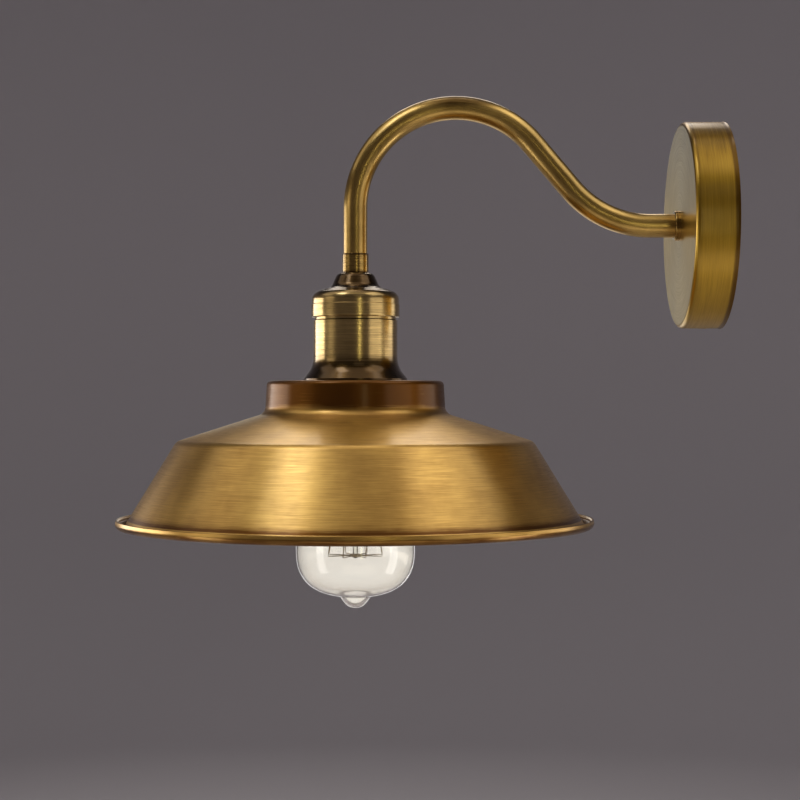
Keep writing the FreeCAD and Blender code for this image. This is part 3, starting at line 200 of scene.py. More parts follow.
def tubeMesh(name, path, radii, columns, ends=True):
    # a circle carried square to a path: p + r (cos a N + sin a B), N and B turned along without twist
    path = np.array(path, float)
    tangent = np.gradient(path, axis=0)
    tangent /= np.linalg.norm(tangent, axis=1)[:, None]
    normal = [unit(np.cross(tangent[0], [0.31, 0.77, 0.56]))]
    for t in tangent[1:]:
        normal.append(unit(normal[-1] - t * (normal[-1] @ t)))
    normal = np.array(normal)
    other = np.cross(tangent, normal)
    angle = np.arange(columns) * 2 * math.pi / columns
    ring = np.cos(angle)[None, :, None] * normal[:, None] + np.sin(angle)[None, :, None] * other[:, None]
    grid = path[:, None] + np.asarray(radii, float).reshape(-1, 1, 1) * ring
    if ends:
        first, last = (np.repeat(path[row, None, None], columns, 1) for row in (0, -1))
        grid = np.concatenate([first, grid, last])
    v = np.append(0, np.cumsum(np.linalg.norm(np.diff(grid[:, 0], axis=0), axis=1))) / 1000
    return gridMesh(name, grid, v, columns, False)


def bezier(poles, count):
    # cubic curve: (1-t)^3 a + 3 (1-t)^2 t b + 3 (1-t) t^2 c + t^3 d
    t = np.linspace(0, 1, count)[:, None]
    a, b, c, d = (np.array(p, float) for p in poles)
    return (1 - t) ** 3 * a + 3 * (1 - t) ** 2 * t * b + 3 * (1 - t) * t ** 2 * c + t ** 3 * d


def addNode(tree, kind, inputs=None, **settings):
    # one node with its settings; each input is a value or the socket that feeds it
    node = tree.nodes.new(kind)
    for key, value in settings.items():
        setattr(node, key, value)
    for key, value in (inputs or {}).items():
        if isinstance(value, bpy.types.NodeSocket):
            tree.links.new(value, node.inputs[key])
        else:
            node.inputs[key].default_value = value
    return node


def newMaterial(name, **values):
    material = bpy.data.materials.new(name)
    material.use_nodes = True
    tree = material.node_tree
    shader = tree.nodes["Principled BSDF"]
    for key, value in values.items():
        shader.inputs[key.replace("_", " ")].default_value = value
    return material, tree, shader


# finishes
def brassMaterial(name, values):
    # brass aged brown, then brushed bright again: fine marks from the belt and an aged film in soft patches,
    # under a thin lacquer; bands darken it by place along an axis: painted shade, and painted highlight where
    # left light
    material, tree, shader = newMaterial(
        name, Metallic=1.0, Anisotropic=values["anisotropy"], Anisotropic_Rotation=values["turn"],
        Coat_Weight=values["lacquer"], Coat_Roughness=values["lacquerRoughness"])
    place = addNode(tree, "ShaderNodeTexCoord")
    across = addNode(tree, "ShaderNodeSeparateXYZ", {0: place.outputs["Object"]})
    along = addNode(tree, "ShaderNodeSeparateXYZ", {0: place.outputs["UV"]})
    long, wide = 1000 / values["markLength"], 1000 / values["markWidth"]
    if values["marks"] == "lengthways":     # circle of the tube (cos, sin of the turn) against its length
        turn = addNode(tree, "ShaderNodeMath", {0: along.outputs["X"], 1: 2 * math.pi}, operation="MULTIPLY")
        reach = values["radius"] / values["markWidth"]
        sides = [addNode(tree, "ShaderNodeMath", {0: addNode(tree, "ShaderNodeMath", {0: turn.outputs[0]},
                                                             operation=wave).outputs[0], 1: reach},
                         operation="MULTIPLY").outputs[0] for wave in ("COSINE", "SINE")]
        run = addNode(tree, "ShaderNodeMath", {0: along.outputs["Y"], 1: long}, operation="MULTIPLY")
        spread = addNode(tree, "ShaderNodeCombineXYZ", {0: sides[0], 1: sides[1], 2: run.outputs[0]})
    else:                                   # marks run round the piece, fine along its profile
        second = across.outputs["Z" if values["marks"] == "round the wall axis" else "Y"]
        marks = addNode(tree, "ShaderNodeCombineXYZ", {0: across.outputs["X"], 1: second, 2: along.outputs["Y"]})
        spread = addNode(tree, "ShaderNodeVectorMath", {0: marks.outputs[0], 1: (long, long, wide)},
                         operation="MULTIPLY")
    brush = addNode(tree, "ShaderNodeTexNoise", {"Vector": spread.outputs[0], "Scale": 1.0, "Detail": 4.0,
                                                 "Roughness": 0.65})
    film = addNode(tree, "ShaderNodeTexNoise", {"Vector": place.outputs["Object"],
                                                "Scale": 1000 / values["patchSize"], "Detail": 3.0,
                                                "Roughness": 0.55})
    streaks = addNode(tree, "ShaderNodeMapRange", {0: brush.outputs[0], 1: 0.3, 2: 0.7, 3: 0.0,
                                                   4: values["streaks"]})
    patches = addNode(tree, "ShaderNodeMapRange", {0: film.outputs[0], 1: 0.32, 2: 0.68, 3: 0.0,
                                                   4: values["patches"]})
    filmAndPaintedShade = addNode(tree, "ShaderNodeMath", {0: streaks.outputs[0], 1: patches.outputs[0]}, operation="ADD")
    low, high = values["roughness"]
    rough = addNode(tree, "ShaderNodeMapRange", {0: brush.outputs[0], 1: 0.3, 2: 0.7, 3: low, 4: high})
    for axis, paintedLightBands in values["paintedLightBands"].items():     # place in mm, extra darkening (painted light and shade, named at each finish), extra roughness
        first, last = paintedLightBands[0][0], paintedLightBands[-1][0]
        level = addNode(tree, "ShaderNodeMapRange", {0: across.outputs[axis], 1: first / 1000, 2: last / 1000})
        ramp = addNode(tree, "ShaderNodeValToRGB", {0: level.outputs[0]})
        for band in paintedLightBands[1:-1]:
            ramp.color_ramp.elements.new((band[0] - first) / (last - first))
        for stop, band in zip(ramp.color_ramp.elements, paintedLightBands):
            stop.color = (band[1], band[2], 0, 1)
        shares = addNode(tree, "ShaderNodeSeparateColor", {0: ramp.outputs[0]})
        filmAndPaintedShade = addNode(tree, "ShaderNodeMath", {0: filmAndPaintedShade.outputs[0], 1: shares.outputs[0]}, operation="ADD")
        rough = addNode(tree, "ShaderNodeMath", {0: rough.outputs[0], 1: shares.outputs[1]}, operation="ADD")
    amount = addNode(tree, "ShaderNodeClamp", {0: filmAndPaintedShade.outputs[0]})
    colour = addNode(tree, "ShaderNodeMix", {0: amount.outputs[0], 6: toLinear(values["light"]),
                                             7: toLinear(values["dark"])}, data_type="RGBA")
    tree.links.new(colour.outputs[2], shader.inputs["Base Color"])
    tree.links.new(rough.outputs[0], shader.inputs["Roughness"])
    relief = addNode(tree, "ShaderNodeBump", {"Strength": values["relief"], "Distance": 0.00004,
                                              "Height": brush.outputs[0]})
    tree.links.new(relief.outputs[0], shader.inputs["Normal"])
    tangent = addNode(tree, "ShaderNodeTangent", direction_type="UV_MAP", uv_map="UVMap")
    tree.links.new(tangent.outputs[0], shader.inputs["Tangent"])
    return material


# satin antique brass: spun, brushed against a belt as it turned, then lacquered; the real marks are
# about 0.1 mm wide and are drawn 0.4 mm wide or more, the finest that shows; bands by height paint light
# and shade: a light line along the lip of the rim is a painted highlight, a dark band at the foot of the skirt
# just above it a painted shadow, the rim's lower edge darker, painted shade, the shoulder and shallow cone
# down to the crease lighter, a painted highlight; the collar is darker all round
shadeBrass = brassMaterial("satinAntiqueBrass", {
    "light": "#E6BE6E", "dark": "#6A440F", "roughness": (0.30, 0.42), "anisotropy": 0.5, "turn": 0.25,
    "marks": "round", "markLength": 18.0, "markWidth": 0.4, "patchSize": 24.0, "streaks": 0.30,
    "patches": 0.22, "relief": 0.22, "lacquer": 0.4, "lacquerRoughness": 0.2,
    "paintedLightBands": {"Z": [(-165.2, 0.7, 0.0), (-162.0, 0.6, 0.0), (-161.2, 0.10, 0.0), (-160.1, 0.10, 0.0),
                    (-159.7, 0.95, 0.0), (-158.2, 0.60, 0.0), (-156.5, 0.25, 0.0), (-152.0, 0.16, 0.0),
                    (-119.0, 0.16, 0.0), (-116.0, 0.08, 0.05), (-105.0, 0.12, 0.05), (-101.0, 0.40, 0.0),
                    (-97.0, 0.88, 0.10), (-86.0, 0.88, 0.10), (-84.0, 0.5, 0.0)]}})
# the canopy has the same finish, yellower; its face and rounded front edge are left light, a painted highlight,
# with painted shade in a narrow band behind the edge, towards its upper side and in a dark line along the wall
canopyBrass = brassMaterial("satinAntiqueBrassCanopy", {
    "light": "#C6A33F", "dark": "#6A4E12", "roughness": (0.28, 0.36), "anisotropy": 0.35, "turn": 0.25,
    "marks": "round the wall axis", "markLength": 24.0, "markWidth": 0.5, "patchSize": 40.0, "streaks": 0.30,
    "patches": 0.25, "relief": 0.25, "lacquer": 0.5, "lacquerRoughness": 0.2,
    "paintedLightBands": {"Y": [(-22.9, 0.0, 0.0), (-22.0, 0.0, 0.0), (-20.5, 0.25, 0.14), (-19.0, 0.05, 0.14),
                    (-3.0, 0.05, 0.14), (-1.4, 0.9, 0.14), (0.0, 1.0, 0.14)],
              "Z": [(-60.0, 0.0, 0.0), (10.0, 0.0, 0.0), (32.0, 0.30, 0.0), (60.0, 0.60, 0.0)]}})
# drawn tube, polished lengthways before it was bent, then aged; darker over the top of the hook, painted shade
armBrass = brassMaterial("agedDrawnBrass", {
    "light": "#CDAD66", "dark": "#5A4213", "roughness": (0.24, 0.36), "anisotropy": 0.5, "turn": 0.0,
    "marks": "lengthways", "radius": 6.5, "markLength": 8.0, "markWidth": 0.35, "patchSize": 30.0,
    "streaks": 0.30, "patches": 0.35, "relief": 0.06, "lacquer": 0.5, "lacquerRoughness": 0.18,
    "paintedLightBands": {"Z": [(55.0, 0.0, 0.0), (63.5, 0.0, 0.0), (66.0, 0.5, 0.0), (72.0, 0.6, 0.0)]}})
# turned and buffed brass of the lamp holder, thin rings left in it, aged less than the shade; painted shade
# darkens the flared foot, the groove under the domed cap, the dome's shoulder and the trumpet cap
holderBrass = brassMaterial("buffedAntiqueBrass", {
    "light": "#DCC083", "dark": "#4E3812", "roughness": (0.20, 0.29), "anisotropy": 0.45, "turn": 0.25,
    "marks": "round", "markLength": 30.0, "markWidth": 0.5, "patchSize": 22.0, "streaks": 0.40,
    "patches": 0.24, "relief": 0.3, "lacquer": 0.6, "lacquerRoughness": 0.16,
    "paintedLightBands": {"Z": [(-85.0, 1.0, 0.0), (-80.0, 0.95, 0.0), (-76.0, 0.65, 0.0), (-70.0, 0.10, 0.0),
                    (-54.0, 0.05, 0.0), (-51.0, 0.20, 0.0), (-49.0, 0.05, 0.0),
                    (-39.5, 0.10, 0.0), (-37.5, 0.45, 0.0), (-34.5, 0.80, 0.0),
                    (-27.5, 0.80, 0.0), (-26.0, 0.5, 0.0)]}})
# the turned rings on the arm: its own finish, marked round; the coupler is darker at both ends, painted
# shade in its seams with the tube and the trumpet cap
ringBrass = brassMaterial("agedTurnedBrass", {
    "light": "#CDAD66", "dark": "#5A4213", "roughness": (0.22, 0.30), "anisotropy": 0.3, "turn": 0.25,
    "marks": "round", "markLength": 12.0, "markWidth": 0.5, "patchSize": 20.0, "streaks": 0.45,
    "patches": 0.35, "relief": 0.2, "lacquer": 0.5, "lacquerRoughness": 0.18,
    "paintedLightBands": {"Z": [(-26.4, 0.3, 0.0), (-25.9, 0.9, 0.0), (-24.6, 0.15, 0.0), (-16.8, 0.15, 0.0),
                    (-15.5, 0.9, 0.0), (-15.2, 0.2, 0.0)]}})


def metal(name, colour, roughness):
    # plain metal, its gloss broken by fine handling marks
    material, tree, shader = newMaterial(name, Metallic=1.0, Base_Color=toLinear(colour))
    place = addNode(tree, "ShaderNodeTexCoord")
    marks = addNode(tree, "ShaderNodeTexNoise",
                    {"Vector": place.outputs["Object"], "Scale": 900.0, "Detail": 3.0})
    rough = addNode(tree, "ShaderNodeMapRange", {0: marks.outputs[0], 1: 0.3, 2: 0.7, 3: roughness * 0.8,
                                                 4: roughness * 1.25})
    tree.links.new(rough.outputs[0], shader.inputs["Roughness"])
    return material


def moulded(name, colour, roughness, ior=1.5):
    # moulded or extruded plastic: even colour, a faint orange-peel skin
    material, tree, shader = newMaterial(name, Base_Color=toLinear(colour), Roughness=roughness, IOR=ior)
    place = addNode(tree, "ShaderNodeTexCoord")
    skin = addNode(tree, "ShaderNodeTexNoise",
                   {"Vector": place.outputs["Object"], "Scale": 1400.0, "Detail": 2.0})
    relief = addNode(tree, "ShaderNodeBump", {"Strength": 0.15, "Distance": 0.00005, "Height": skin.outputs[0]})
    tree.links.new(relief.outputs[0], shader.inputs["Normal"])
    return material


clearGlass, _, _ = newMaterial("clearBlownGlass", Base_Color=toLinear("#FDFBF5"), Roughness=0.05, IOR=1.45,
                               Transmission_Weight=0.93)         # blown soda glass, a little warm
stemGlass, _, _ = newMaterial("clearDrawnGlass", Base_Color=toLinear("#F4F6F2"), Roughness=0.02, IOR=1.5,
                              Transmission_Weight=1.0)
finishes = {
    "antique_brass": shadeBrass,
    "polished_brass": holderBrass,
    "brass_fittings": metal("machinedBrass", "#D9B469", 0.22),
    "zinc_steel": metal("zincPlatedSteel", "#B9BBB8", 0.34),
    "screw_steel": metal("plainSteel", "#9A9A98", 0.28),
    "white_nylon": moulded("mouldedNylon", "#E9E6DD", 0.45, 1.53),
    "brown_sleeve": moulded("brownSiliconeSleeve", "#5A3522", 0.5, 1.41),
    "blue_sleeve": moulded("blueSiliconeSleeve", "#2C5FA8", 0.5, 1.41),
    "earth_sleeve": moulded("greenSiliconeSleeve", "#6F9E35", 0.5, 1.41),
    "black_phenolic": moulded("mouldedPhenolic", "#17140F", 0.28, 1.6),
    "solder": metal("softSolder", "#C9C9C4", 0.3),
    "black_glass": moulded("blackInsulatingGlass", "#0B0B0D", 0.08, 1.5),
    "nickel_cap": metal("nickelPlatedCap", "#CFCBC0", 0.2),
    "bulb_glass": clearGlass,
    "stem_glass": stemGlass,
    "nickel_wire": metal("nickelWire", "#CFC5B0", 0.5),
    "filament_wire": metal("carbonisedWire", "#B59C72", 0.6),
}
for row in frame["record"]["subparts"]:
    for holder in frame["nodes"][row["node"]].material_slots:
        holder.material = finishes[row["material_slot"]]
print("finishes set on the CAD nodes")

# canopy: a spun cup against the wall, its back edge turned out a little
canopyValues = {"radius": 56.2, "edgeRadius": 2.4, "flare": 0.3, "flareHeight": 1.2, "flareRound": 1.5,
                "wall": 1.2, "cutEdge": 0.2, "hole": 5.05, "screwDepth": 10.0, "screwHole": 2.55,
                "drillFrom": 40.0, "drillTo": 60.0, "columns": 224}
k = canopyValues
cup = sheet([(k["hole"], canopyDepth), (k["radius"], canopyDepth, k["edgeRadius"]),
             (k["radius"], k["flareHeight"], k["flareRound"]), (k["radius"] + k["flare"], 0.0)],
            k["wall"], k["cutEdge"])
cup[:, 1] = np.maximum(cup[:, 1], 0.0)      # the back edge lies flat on the wall
canopyMesh = lathe("canopy", cup, k["columns"], toPlace=atWall)


def cutHoles(mesh, cutters):
    # the cutters' space is taken out of the mesh
    base = bpy.data.objects.new("holeBase", mesh)
    bpy.context.scene.collection.objects.link(base)
    tools = []
    for i, cutter in enumerate(cutters):
        tool = bpy.data.objects.new("holeTool%d" % i, cutter)
        bpy.context.scene.collection.objects.link(tool)
        tools.append(tool)
        step = base.modifiers.new("hole%d" % i, "BOOLEAN")
        step.operation, step.solver, step.object = "DIFFERENCE", "EXACT", tool
    bpy.context.view_layer.update()
    result = bpy.data.meshes.new_from_object(base.evaluated_get(bpy.context.evaluated_depsgraph_get()))
    for thing in [base, *tools]:
        bpy.data.objects.remove(thing)
    return result


drills = [tubeMesh("drill", [(0, -k["screwDepth"], side * reach) for reach in (k["drillFrom"], k["drillTo"])],
                   [k["screwHole"]] * 2, 40) for side in (1, -1)]
finishMesh("canopy_cup", cutHoles(canopyMesh, drills), "fitting", canopyBrass,
           ["canopy"])
print("canopy made")

# arm: straight out of the wall, up a slant, over the hook and down, with its root ring
armValues = {"radius": 6.5, "bore": 5.5, "wallRun": 15.7, "firstRow": 7.2, "lowBend": 57.0, "slant": 49.8,
             "slantRun": 32.5, "hook": 55.0, "lastRow": -4.0, "bendRows": 40, "columns": 64}
k = armValues
slant = math.radians(k["slant"])
bendY = -(canopyDepth + k["wallRun"])
lowArc = np.linspace(0, slant, k["bendRows"])
lowPath = np.stack([bendY - k["lowBend"] * np.sin(lowArc), k["lowBend"] * (1 - np.cos(lowArc))], 1)
hookStart = lowPath[-1] + k["slantRun"] * np.array([-math.cos(slant), math.sin(slant)])
hookCentre = hookStart + k["hook"] * np.array([-math.sin(slant), -math.cos(slant)])
highArc = np.linspace(math.pi / 2 - slant, math.pi, 2 * k["bendRows"])
highPath = hookCentre + k["hook"] * np.stack([np.cos(highArc), np.sin(highArc)], 1)
armPath = np.concatenate([[(-canopyDepth, 0), (-canopyDepth - k["firstRow"], 0)], lowPath,
                          [(lowPath[-1] + hookStart) / 2], highPath, [(lampY, k["lastRow"]), (lampY, tubeEnd)]])
armPath = np.stack([0 * armPath[:, 0], armPath[:, 0], armPath[:, 1]], 1)
tangent = np.gradient(armPath, axis=0)
tangent[0], tangent[-1] = (0, -1, 0), (0, 0, -1)
tangent /= np.linalg.norm(tangent, axis=1)[:, None]
sideways = np.cross(tangent, [1.0, 0, 0])
turnAngle = np.arange(k["columns"]) * 2 * math.pi / k["columns"]
ring = (np.cos(turnAngle)[None, :, None] * np.array([1.0, 0, 0])
        + np.sin(turnAngle)[None, :, None] * sideways[:, None])
armGrid = np.concatenate([armPath[:, None] + k["radius"] * ring, (armPath[:, None] + k["bore"] * ring)[::-1]])
armLength = np.append(0, np.cumsum(np.linalg.norm(np.diff(armPath, axis=0), axis=1))) / 1000
armMesh = gridMesh("arm", armGrid, np.append(armLength, armLength[-1] + armLength), k["columns"], True)
finishMesh("arm_bent_tube", armMesh, "fitting", armBrass, ["arm_tube"])
rootValues = {"bore": 6.55, "radius": 8.2, "height": 3.0, "edge": 0.8, "boreEdge": 0.2, "columns": 96}
k = rootValues
rootTop = canopyDepth + k["height"]
rootRing = roundOff([(k["bore"], canopyDepth), (k["radius"], canopyDepth), (k["radius"], rootTop, k["edge"]),
                     (k["bore"], rootTop, k["boreEdge"])], closed=True)
finishMesh("arm_root_ring", lathe("rootRing", rootRing, k["columns"], toPlace=atWall), "fitting",
           ringBrass, ["arm_flange"])
print("arm made")

# lamp holder: coupler, trumpet cap, domed cap with its band, sleeve with a flared foot
couplerValues = {"bore": 5.05, "radius": 7.15, "lowEdge": 0.4, "topEdge": 0.45, "columns": 96}
k = couplerValues
couplerLoop = roundOff([(k["bore"], bellTop), (k["radius"], bellTop, k["lowEdge"]),
                        (k["radius"], tubeEnd, k["topEdge"]), (k["bore"], tubeEnd)], closed=True)
finishMesh("arm_coupler", lathe("coupler", couplerLoop, k["columns"]), "fitting",
           ringBrass, ["coupler"])

bellValues = {"bore": 5.08, "top": (9.9, 3.4), "waist": (13.6, 5.0), "foot": (17.6, 3.0), "footFall": 0.1,
              "lipHeight": 1.0, "lip": 19.4, "insideWaist": (12.9, 4.5), "insideTop": (9.1, 2.4), "wall": 1.0,
              "seats": (0.04, 0.02), "columns": 144}      # pairs are a radius and the rounding there
k = bellValues
bellLip, bellInside = capTop + k["lipHeight"], bellTop - k["wall"]
bellLoop = roundOff([(k["bore"], bellTop), (k["top"][0], bellTop, k["top"][1]),
                     (k["waist"][0], bellLip, k["waist"][1]),
                     (k["foot"][0], bellLip - k["footFall"], k["foot"][1]), (k["lip"], capTop + k["seats"][0]),
                     (k["insideWaist"][0], capTop + k["seats"][1], k["insideWaist"][1]),
                     (k["insideTop"][0], bellInside, k["insideTop"][1]), (k["bore"], bellInside)], closed=True)
finishMesh("trumpet_cap", lathe("bell", bellLoop, k["columns"]), "lamp_head",
           holderBrass, ["bell_cap"])

capValues = {"bore": 5.08, "radius": 23.95, "shoulder": 5.3, "band": 24.2, "bandHeight": 7.2, "bandStep": 0.25,
             "wall": 1.0, "cutEdge": 0.4, "columns": 160}
k = capValues
bandTop = capBottom + k["bandHeight"]
capLoop = sheet([(k["bore"], capTop), (k["radius"], capTop, k["shoulder"]), (k["radius"], bandTop),
                 (k["band"], bandTop - k["bandStep"]), (k["band"], capBottom)], k["wall"], k["cutEdge"])
finishMesh("domed_cap", lathe("dome", capLoop, k["columns"]), "lamp_head",
           holderBrass, ["holder_cap"])

sleeveValues = {"neck": 23.15, "neckHeight": 5.8, "neckRun": 2.4, "groove": 22.4, "grooveStep": 0.5,
                "radius": 23.0, "flareHeight": 8.2, "flareRound": 14.0, "foot": 28.4, "footHeight": 1.2,
                "wall": 1.0, "cutEdge": 0.2, "columns": 160}
k = sleeveValues
neckTop = capBottom + k["neckHeight"]
neckLow = neckTop - k["neckRun"]
sleeveLoop = sheet([(k["neck"], neckTop), (k["neck"], neckLow), (k["groove"], neckLow - k["grooveStep"]),
                    (k["groove"], sleeveTop), (k["radius"], sleeveTop - k["grooveStep"]),
                    (k["radius"], shadeTop + k["flareHeight"], k["flareRound"]),
                    (k["foot"], shadeTop + k["footHeight"]), (k["foot"], shadeTop)], k["wall"], k["cutEdge"])
finishMesh("holder_sleeve_spun", lathe("sleeve", sleeveLoop, k["columns"]), "lamp_head",
           holderBrass, ["holder_sleeve"])
print("lamp holder made")

# shade: flat top, collar, shallow cone, shoulder, steep skirt, gutter and turned-up lip
shadeValues = {"hole": 20.2, "collar": 48.3, "collarEdge": 2.5, "collarFoot": 49.4, "collarHeight": 17.6,
               "crease": 5.0, "shoulder": 97.3, "shoulderDrop": 15.3, "shoulderRound": 6.0, "skirt": 125.2,
               "skirtDrop": 45.6, "skirtRound": 1.4, "rim": 130.0, "rimFall": 0.5, "rimRound": 2.0,
               "upright": 2.0, "uprightRound": 1.0, "lipHeight": 4.0, "lean": 0.4, "hem": (0.7, 1.6),
               "wall": 1.0, "cutEdge": 0.3, "columns": 288}
k = shadeValues
crease = shadeTop - k["collarHeight"]
shoulder = crease - k["shoulderDrop"]
skirt = shoulder - k["skirtDrop"]
lipR = k["rim"] - k["wall"]
gutter = skirt - k["rimFall"]
shadeLoop = sheet([(k["hole"], shadeTop), (k["collar"], shadeTop, k["collarEdge"]),
                   (k["collarFoot"], crease, k["crease"]), (k["shoulder"], shoulder, k["shoulderRound"]),
                   (k["skirt"], skirt, k["skirtRound"]), (lipR, gutter, k["rimRound"]),
                   (lipR, gutter + k["upright"], k["uprightRound"]),
                   (lipR - k["lean"], gutter + k["lipHeight"])], k["wall"], k["cutEdge"], k["hem"])
finishMesh("shade_spun", lathe("shade", shadeLoop, k["columns"]), "lamp_head",
           shadeBrass, ["shade"])
print("shade made")

# bulb: blown glass drawn out into a pip, drawn stem, and a squirrel-cage filament
bulbValues = {"neck": 11.6, "neckRise": 6.0, "neckRound": 1.2, "throat": 14.0, "throatDrop": 3.5,
              "throatPull": (1.2, 14.0), "belly": 32.5, "bellyDrop": 84.5, "bellyPull": 34.0,
              "lowPull": 0.68, "bottomDrop": 109.2, "pipFoot": 8.8, "pipHeight": 6.0, "wall": 0.8,
              "pipWall": 1.5, "columns": 144, "cageTopDrop": 40.0, "cageBottomDrop": 86.5, "cageTop": 9.0,
              "cageBottom": 16.0, "strands": 16, "filament": 0.14}
k = bulbValues


def glassSide(offset):
    # neck, short flare, long swelling side and full round bottom, moved inwards by offset
    throat, belly, bottom = k["throat"] - offset, k["belly"] - offset, bulbCapLow - k["bottomDrop"] + offset
    throatZ, bellyZ = bulbCapLow - k["throatDrop"], bulbCapLow - k["bellyDrop"]
    side = bezier([(throat, throatZ), (throat + k["throatPull"][0], throatZ - k["throatPull"][1]),
                   (belly, bellyZ + k["bellyPull"]), (belly, bellyZ)], 48)
    low = bezier([(belly, bellyZ), (belly, bellyZ - k["lowPull"] * (bellyZ - bottom)),
                  (belly * k["lowPull"], bottom), (0, bottom)], 48)
    neck = roundOff([(k["neck"] - offset, bulbCapLow + k["neckRise"]),
                     (k["neck"] - offset, bulbCapLow, k["neckRound"]), (throat, throatZ)])
    return np.concatenate([neck[:-1], side, low[1:]])


def withPip(side, cut, poles, rows):
    # the last of the round bottom, nearer the axis than cut, gives way to the drawn-out pip
    return np.concatenate([side[side[:, 0] > cut], bezier(poles, rows)])


bottomZ = bulbCapLow - k["bottomDrop"]
tipZ = bottomZ - k["pipHeight"]
tipInside = tipZ + k["pipWall"]
outerSide = withPip(glassSide(0.0), k["pipFoot"] + 0.6,
                    [(k["pipFoot"], bottomZ + 0.4), (6.6, bottomZ - 1.4), (6.2, tipZ), (0, tipZ)], 24)
innerSide = withPip(glassSide(k["wall"]), k["pipFoot"] - 0.8,
                    [(k["pipFoot"] - 1.4, bottomZ + 1.2), (5.2, bottomZ - 0.4), (4.6, tipInside),
                     (0, tipInside)], 20)[::-1]      # the pip is drawn out hollow
glassLoop = np.concatenate([outerSide, innerSide])
finishMesh("bulb_blown_glass", lathe("glass", glassLoop, k["columns"]), "bulb",
           clearGlass, ["bulb_glass"], sharp=60.0)

strand = np.arange(k["strands"])
turn = 2 * math.pi * strand / k["strands"]
upper = strand % 2 == 0
radius = np.where(upper, k["cageTop"], k["cageBottom"])
height = bulbCapLow - np.where(upper, k["cageTopDrop"], k["cageBottomDrop"])
bends = np.stack([radius * np.cos(turn), radius * np.sin(turn) + lampY, height], 1)


def softBends(points, share=0.02, rows=5):
    # each bend of the wire is a short curve that starts and ends a small share of the run away
    before, here, after = points[:-2], points[1:-1], points[2:]
    start, end = here + (before - here) * share, here + (after - here) * share
    t = np.linspace(0, 1, rows)[None, :, None]
    curve = (1 - t) ** 2 * start[:, None] + 2 * (1 - t) * t * here[:, None] + t ** 2 * end[:, None]
    return np.concatenate([points[:1], curve.reshape(-1, 3), points[-1:]])


wirePath = softBends(bends)
finishMesh("filament_wire", tubeMesh("filament", wirePath, [k["filament"]] * len(wirePath), 10),
           "bulb", finishes["filament_wire"], ["filament"], sharp=80)
print("bulb made")

# pale paper cove all round: a flat floor that curves up into an upright wall
coveValues = {"floor": -750.0, "radius": 3200.0, "round": 900.0, "top": 2000.0, "colour": "#C8C4C9"}
k = coveValues
coveLine = roundOff([(0, k["floor"]), (k["radius"], k["floor"], k["round"]), (k["radius"], k["top"])],
                    support=20.0)
cove = bpy.data.objects.new("paperCove", lathe("paperCove", coveLine, 128, closedRows=False))
cove.data.shade_smooth()
cove.data.materials.append(newMaterial("mattPaper", Base_Color=toLinear(k["colour"]), Roughness=0.9)[0])
bpy.context.scene.collection.objects.link(cove)

roomValues = {"colour": "#8C8A90", "strength": 0.25}
world = bpy.data.worlds.new("softRoom")
world.use_nodes = True
world.node_tree.nodes["Background"].inputs["Color"].default_value = toLinear(roomValues["colour"])
world.node_tree.nodes["Background"].inputs["Strength"].default_value = roomValues["strength"]
bpy.context.scene.world = world
bpy.context.scene.view_settings.view_transform = "Standard"
bpy.context.scene.view_settings.look = "Medium High Contrast"

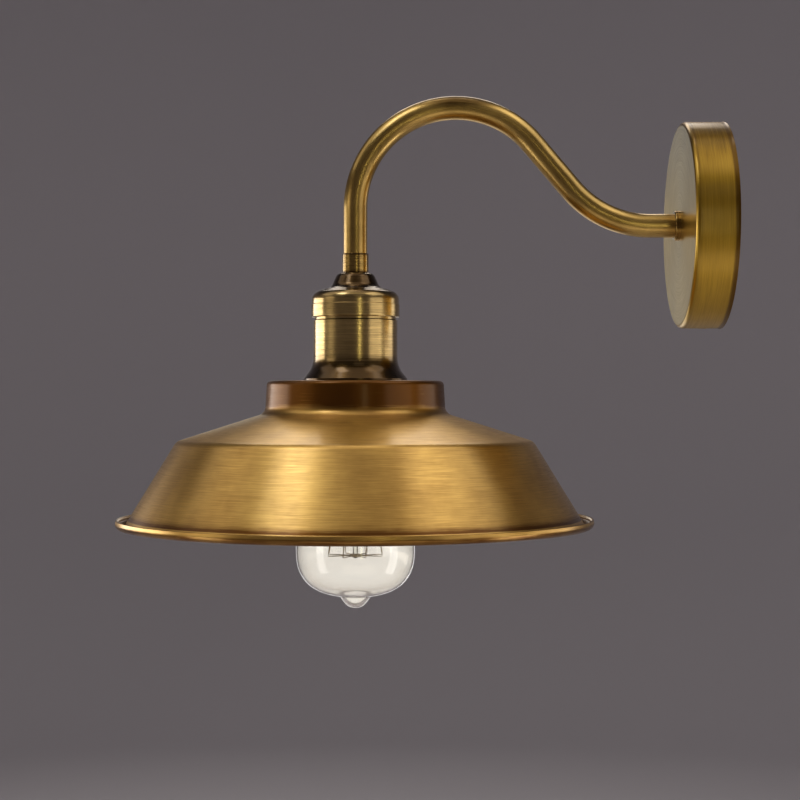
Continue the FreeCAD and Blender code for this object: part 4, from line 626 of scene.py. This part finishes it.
# soft boxes round the lamp: bearing from the front and height above level in degrees, distance, width
# and height in metres, watts per square metre, colour
lampCentre = np.array([0.0, -0.2, -0.1])
softBoxes = {
    "key": (-50, 58, 1.6, 0.5, 0.6, 11.5, "#F0F5FF"),
    "highLeft": (-92, 46, 1.6, 0.9, 0.9, 2.4, "#FFF8EE"),
    "highRight": (74, 51, 1.6, 1.1, 0.8, 4.2, "#FAF6F2"),
    "overhead": (180, 82, 1.5, 0.6, 0.25, 6.0, "#FFF8EE"),
    "highBack": (180, 42, 2.0, 1.1, 0.7, 7.0, "#FFF8EE"),
    "tent": (0, 78, 1.75, 2.2, 1.6, 1.95, "#FFF6EA"),
    "frontHigh": (12, 36, 1.7, 0.7, 0.4, 0.8, "#FFF6EA"),
    "leftStrip": (-115, 3, 1.5, 1.25, 0.4, 9.5, "#FFFAF4"),
    "leftEdge": (-70, 14, 1.5, 0.7, 0.25, 3.5, "#FFF4E0"),
    "rightPanel": (58, 2, 1.5, 1.0, 0.6, 3.0, "#FFF8EE"),
    "rightEdge": (106, 4, 1.5, 0.9, 0.4, 4.0, "#FFF8EE"),
    "thinStrip": (13, 2, 1.9, 0.12, 0.9, 9.0, "#F4F0C0"),
    "below": (10, -42, 0.85, 0.9, 0.5, 1.8, "#FFF4E0"),
    "underneath": (10, -78, 0.9, 0.9, 0.6, 2.5, "#FFF4E0"),
    "lowRight": (80, -26, 1.0, 0.35, 0.9, 7.0, "#FFFCF8"),
    "lowLeft": (-70, -24, 1.0, 0.3, 0.8, 6.0, "#FFFCF8"),
    "bulbBack": (180, -17, 0.37, 0.28, 0.2, 2.5, "#FFFFFF"),
    "wallBack": (-175, 8, 2.2, 0.5, 0.6, 1.1, "#FCFFF2"),
}
for name, (bearing, rise, distance, width, height, strength, colour) in softBoxes.items():
    azimuth, elevation = math.radians(bearing), math.radians(rise)
    outward = np.array([math.cos(elevation) * math.cos(azimuth), math.cos(elevation) * math.sin(azimuth),
                        math.sin(elevation)])
    data = bpy.data.lights.new(name, "AREA")
    data.shape, data.size, data.size_y = "RECTANGLE", width, height
    data.energy, data.color = strength * width * height, toLinear(colour)[:3]
    softBox = bpy.data.objects.new(name, data)
    softBox.location = lampCentre + outward * distance
    softBox.rotation_euler = (math.pi / 2 - elevation, 0, azimuth + math.pi / 2)
    softBox.visible_camera = False
    bpy.context.scene.collection.objects.link(softBox)

camera = bpy.data.objects.new("camera", bpy.data.cameras.new("camera"))
camera.data.lens, camera.data.sensor_width = 76.15, 36.0
camera.location = (0.927, -0.1756, -0.0954)
camera.rotation_euler = (math.pi / 2, 0, math.pi / 2)
bpy.context.scene.collection.objects.link(camera)
bpy.context.scene.camera = camera
print("cove, soft boxes and camera made")
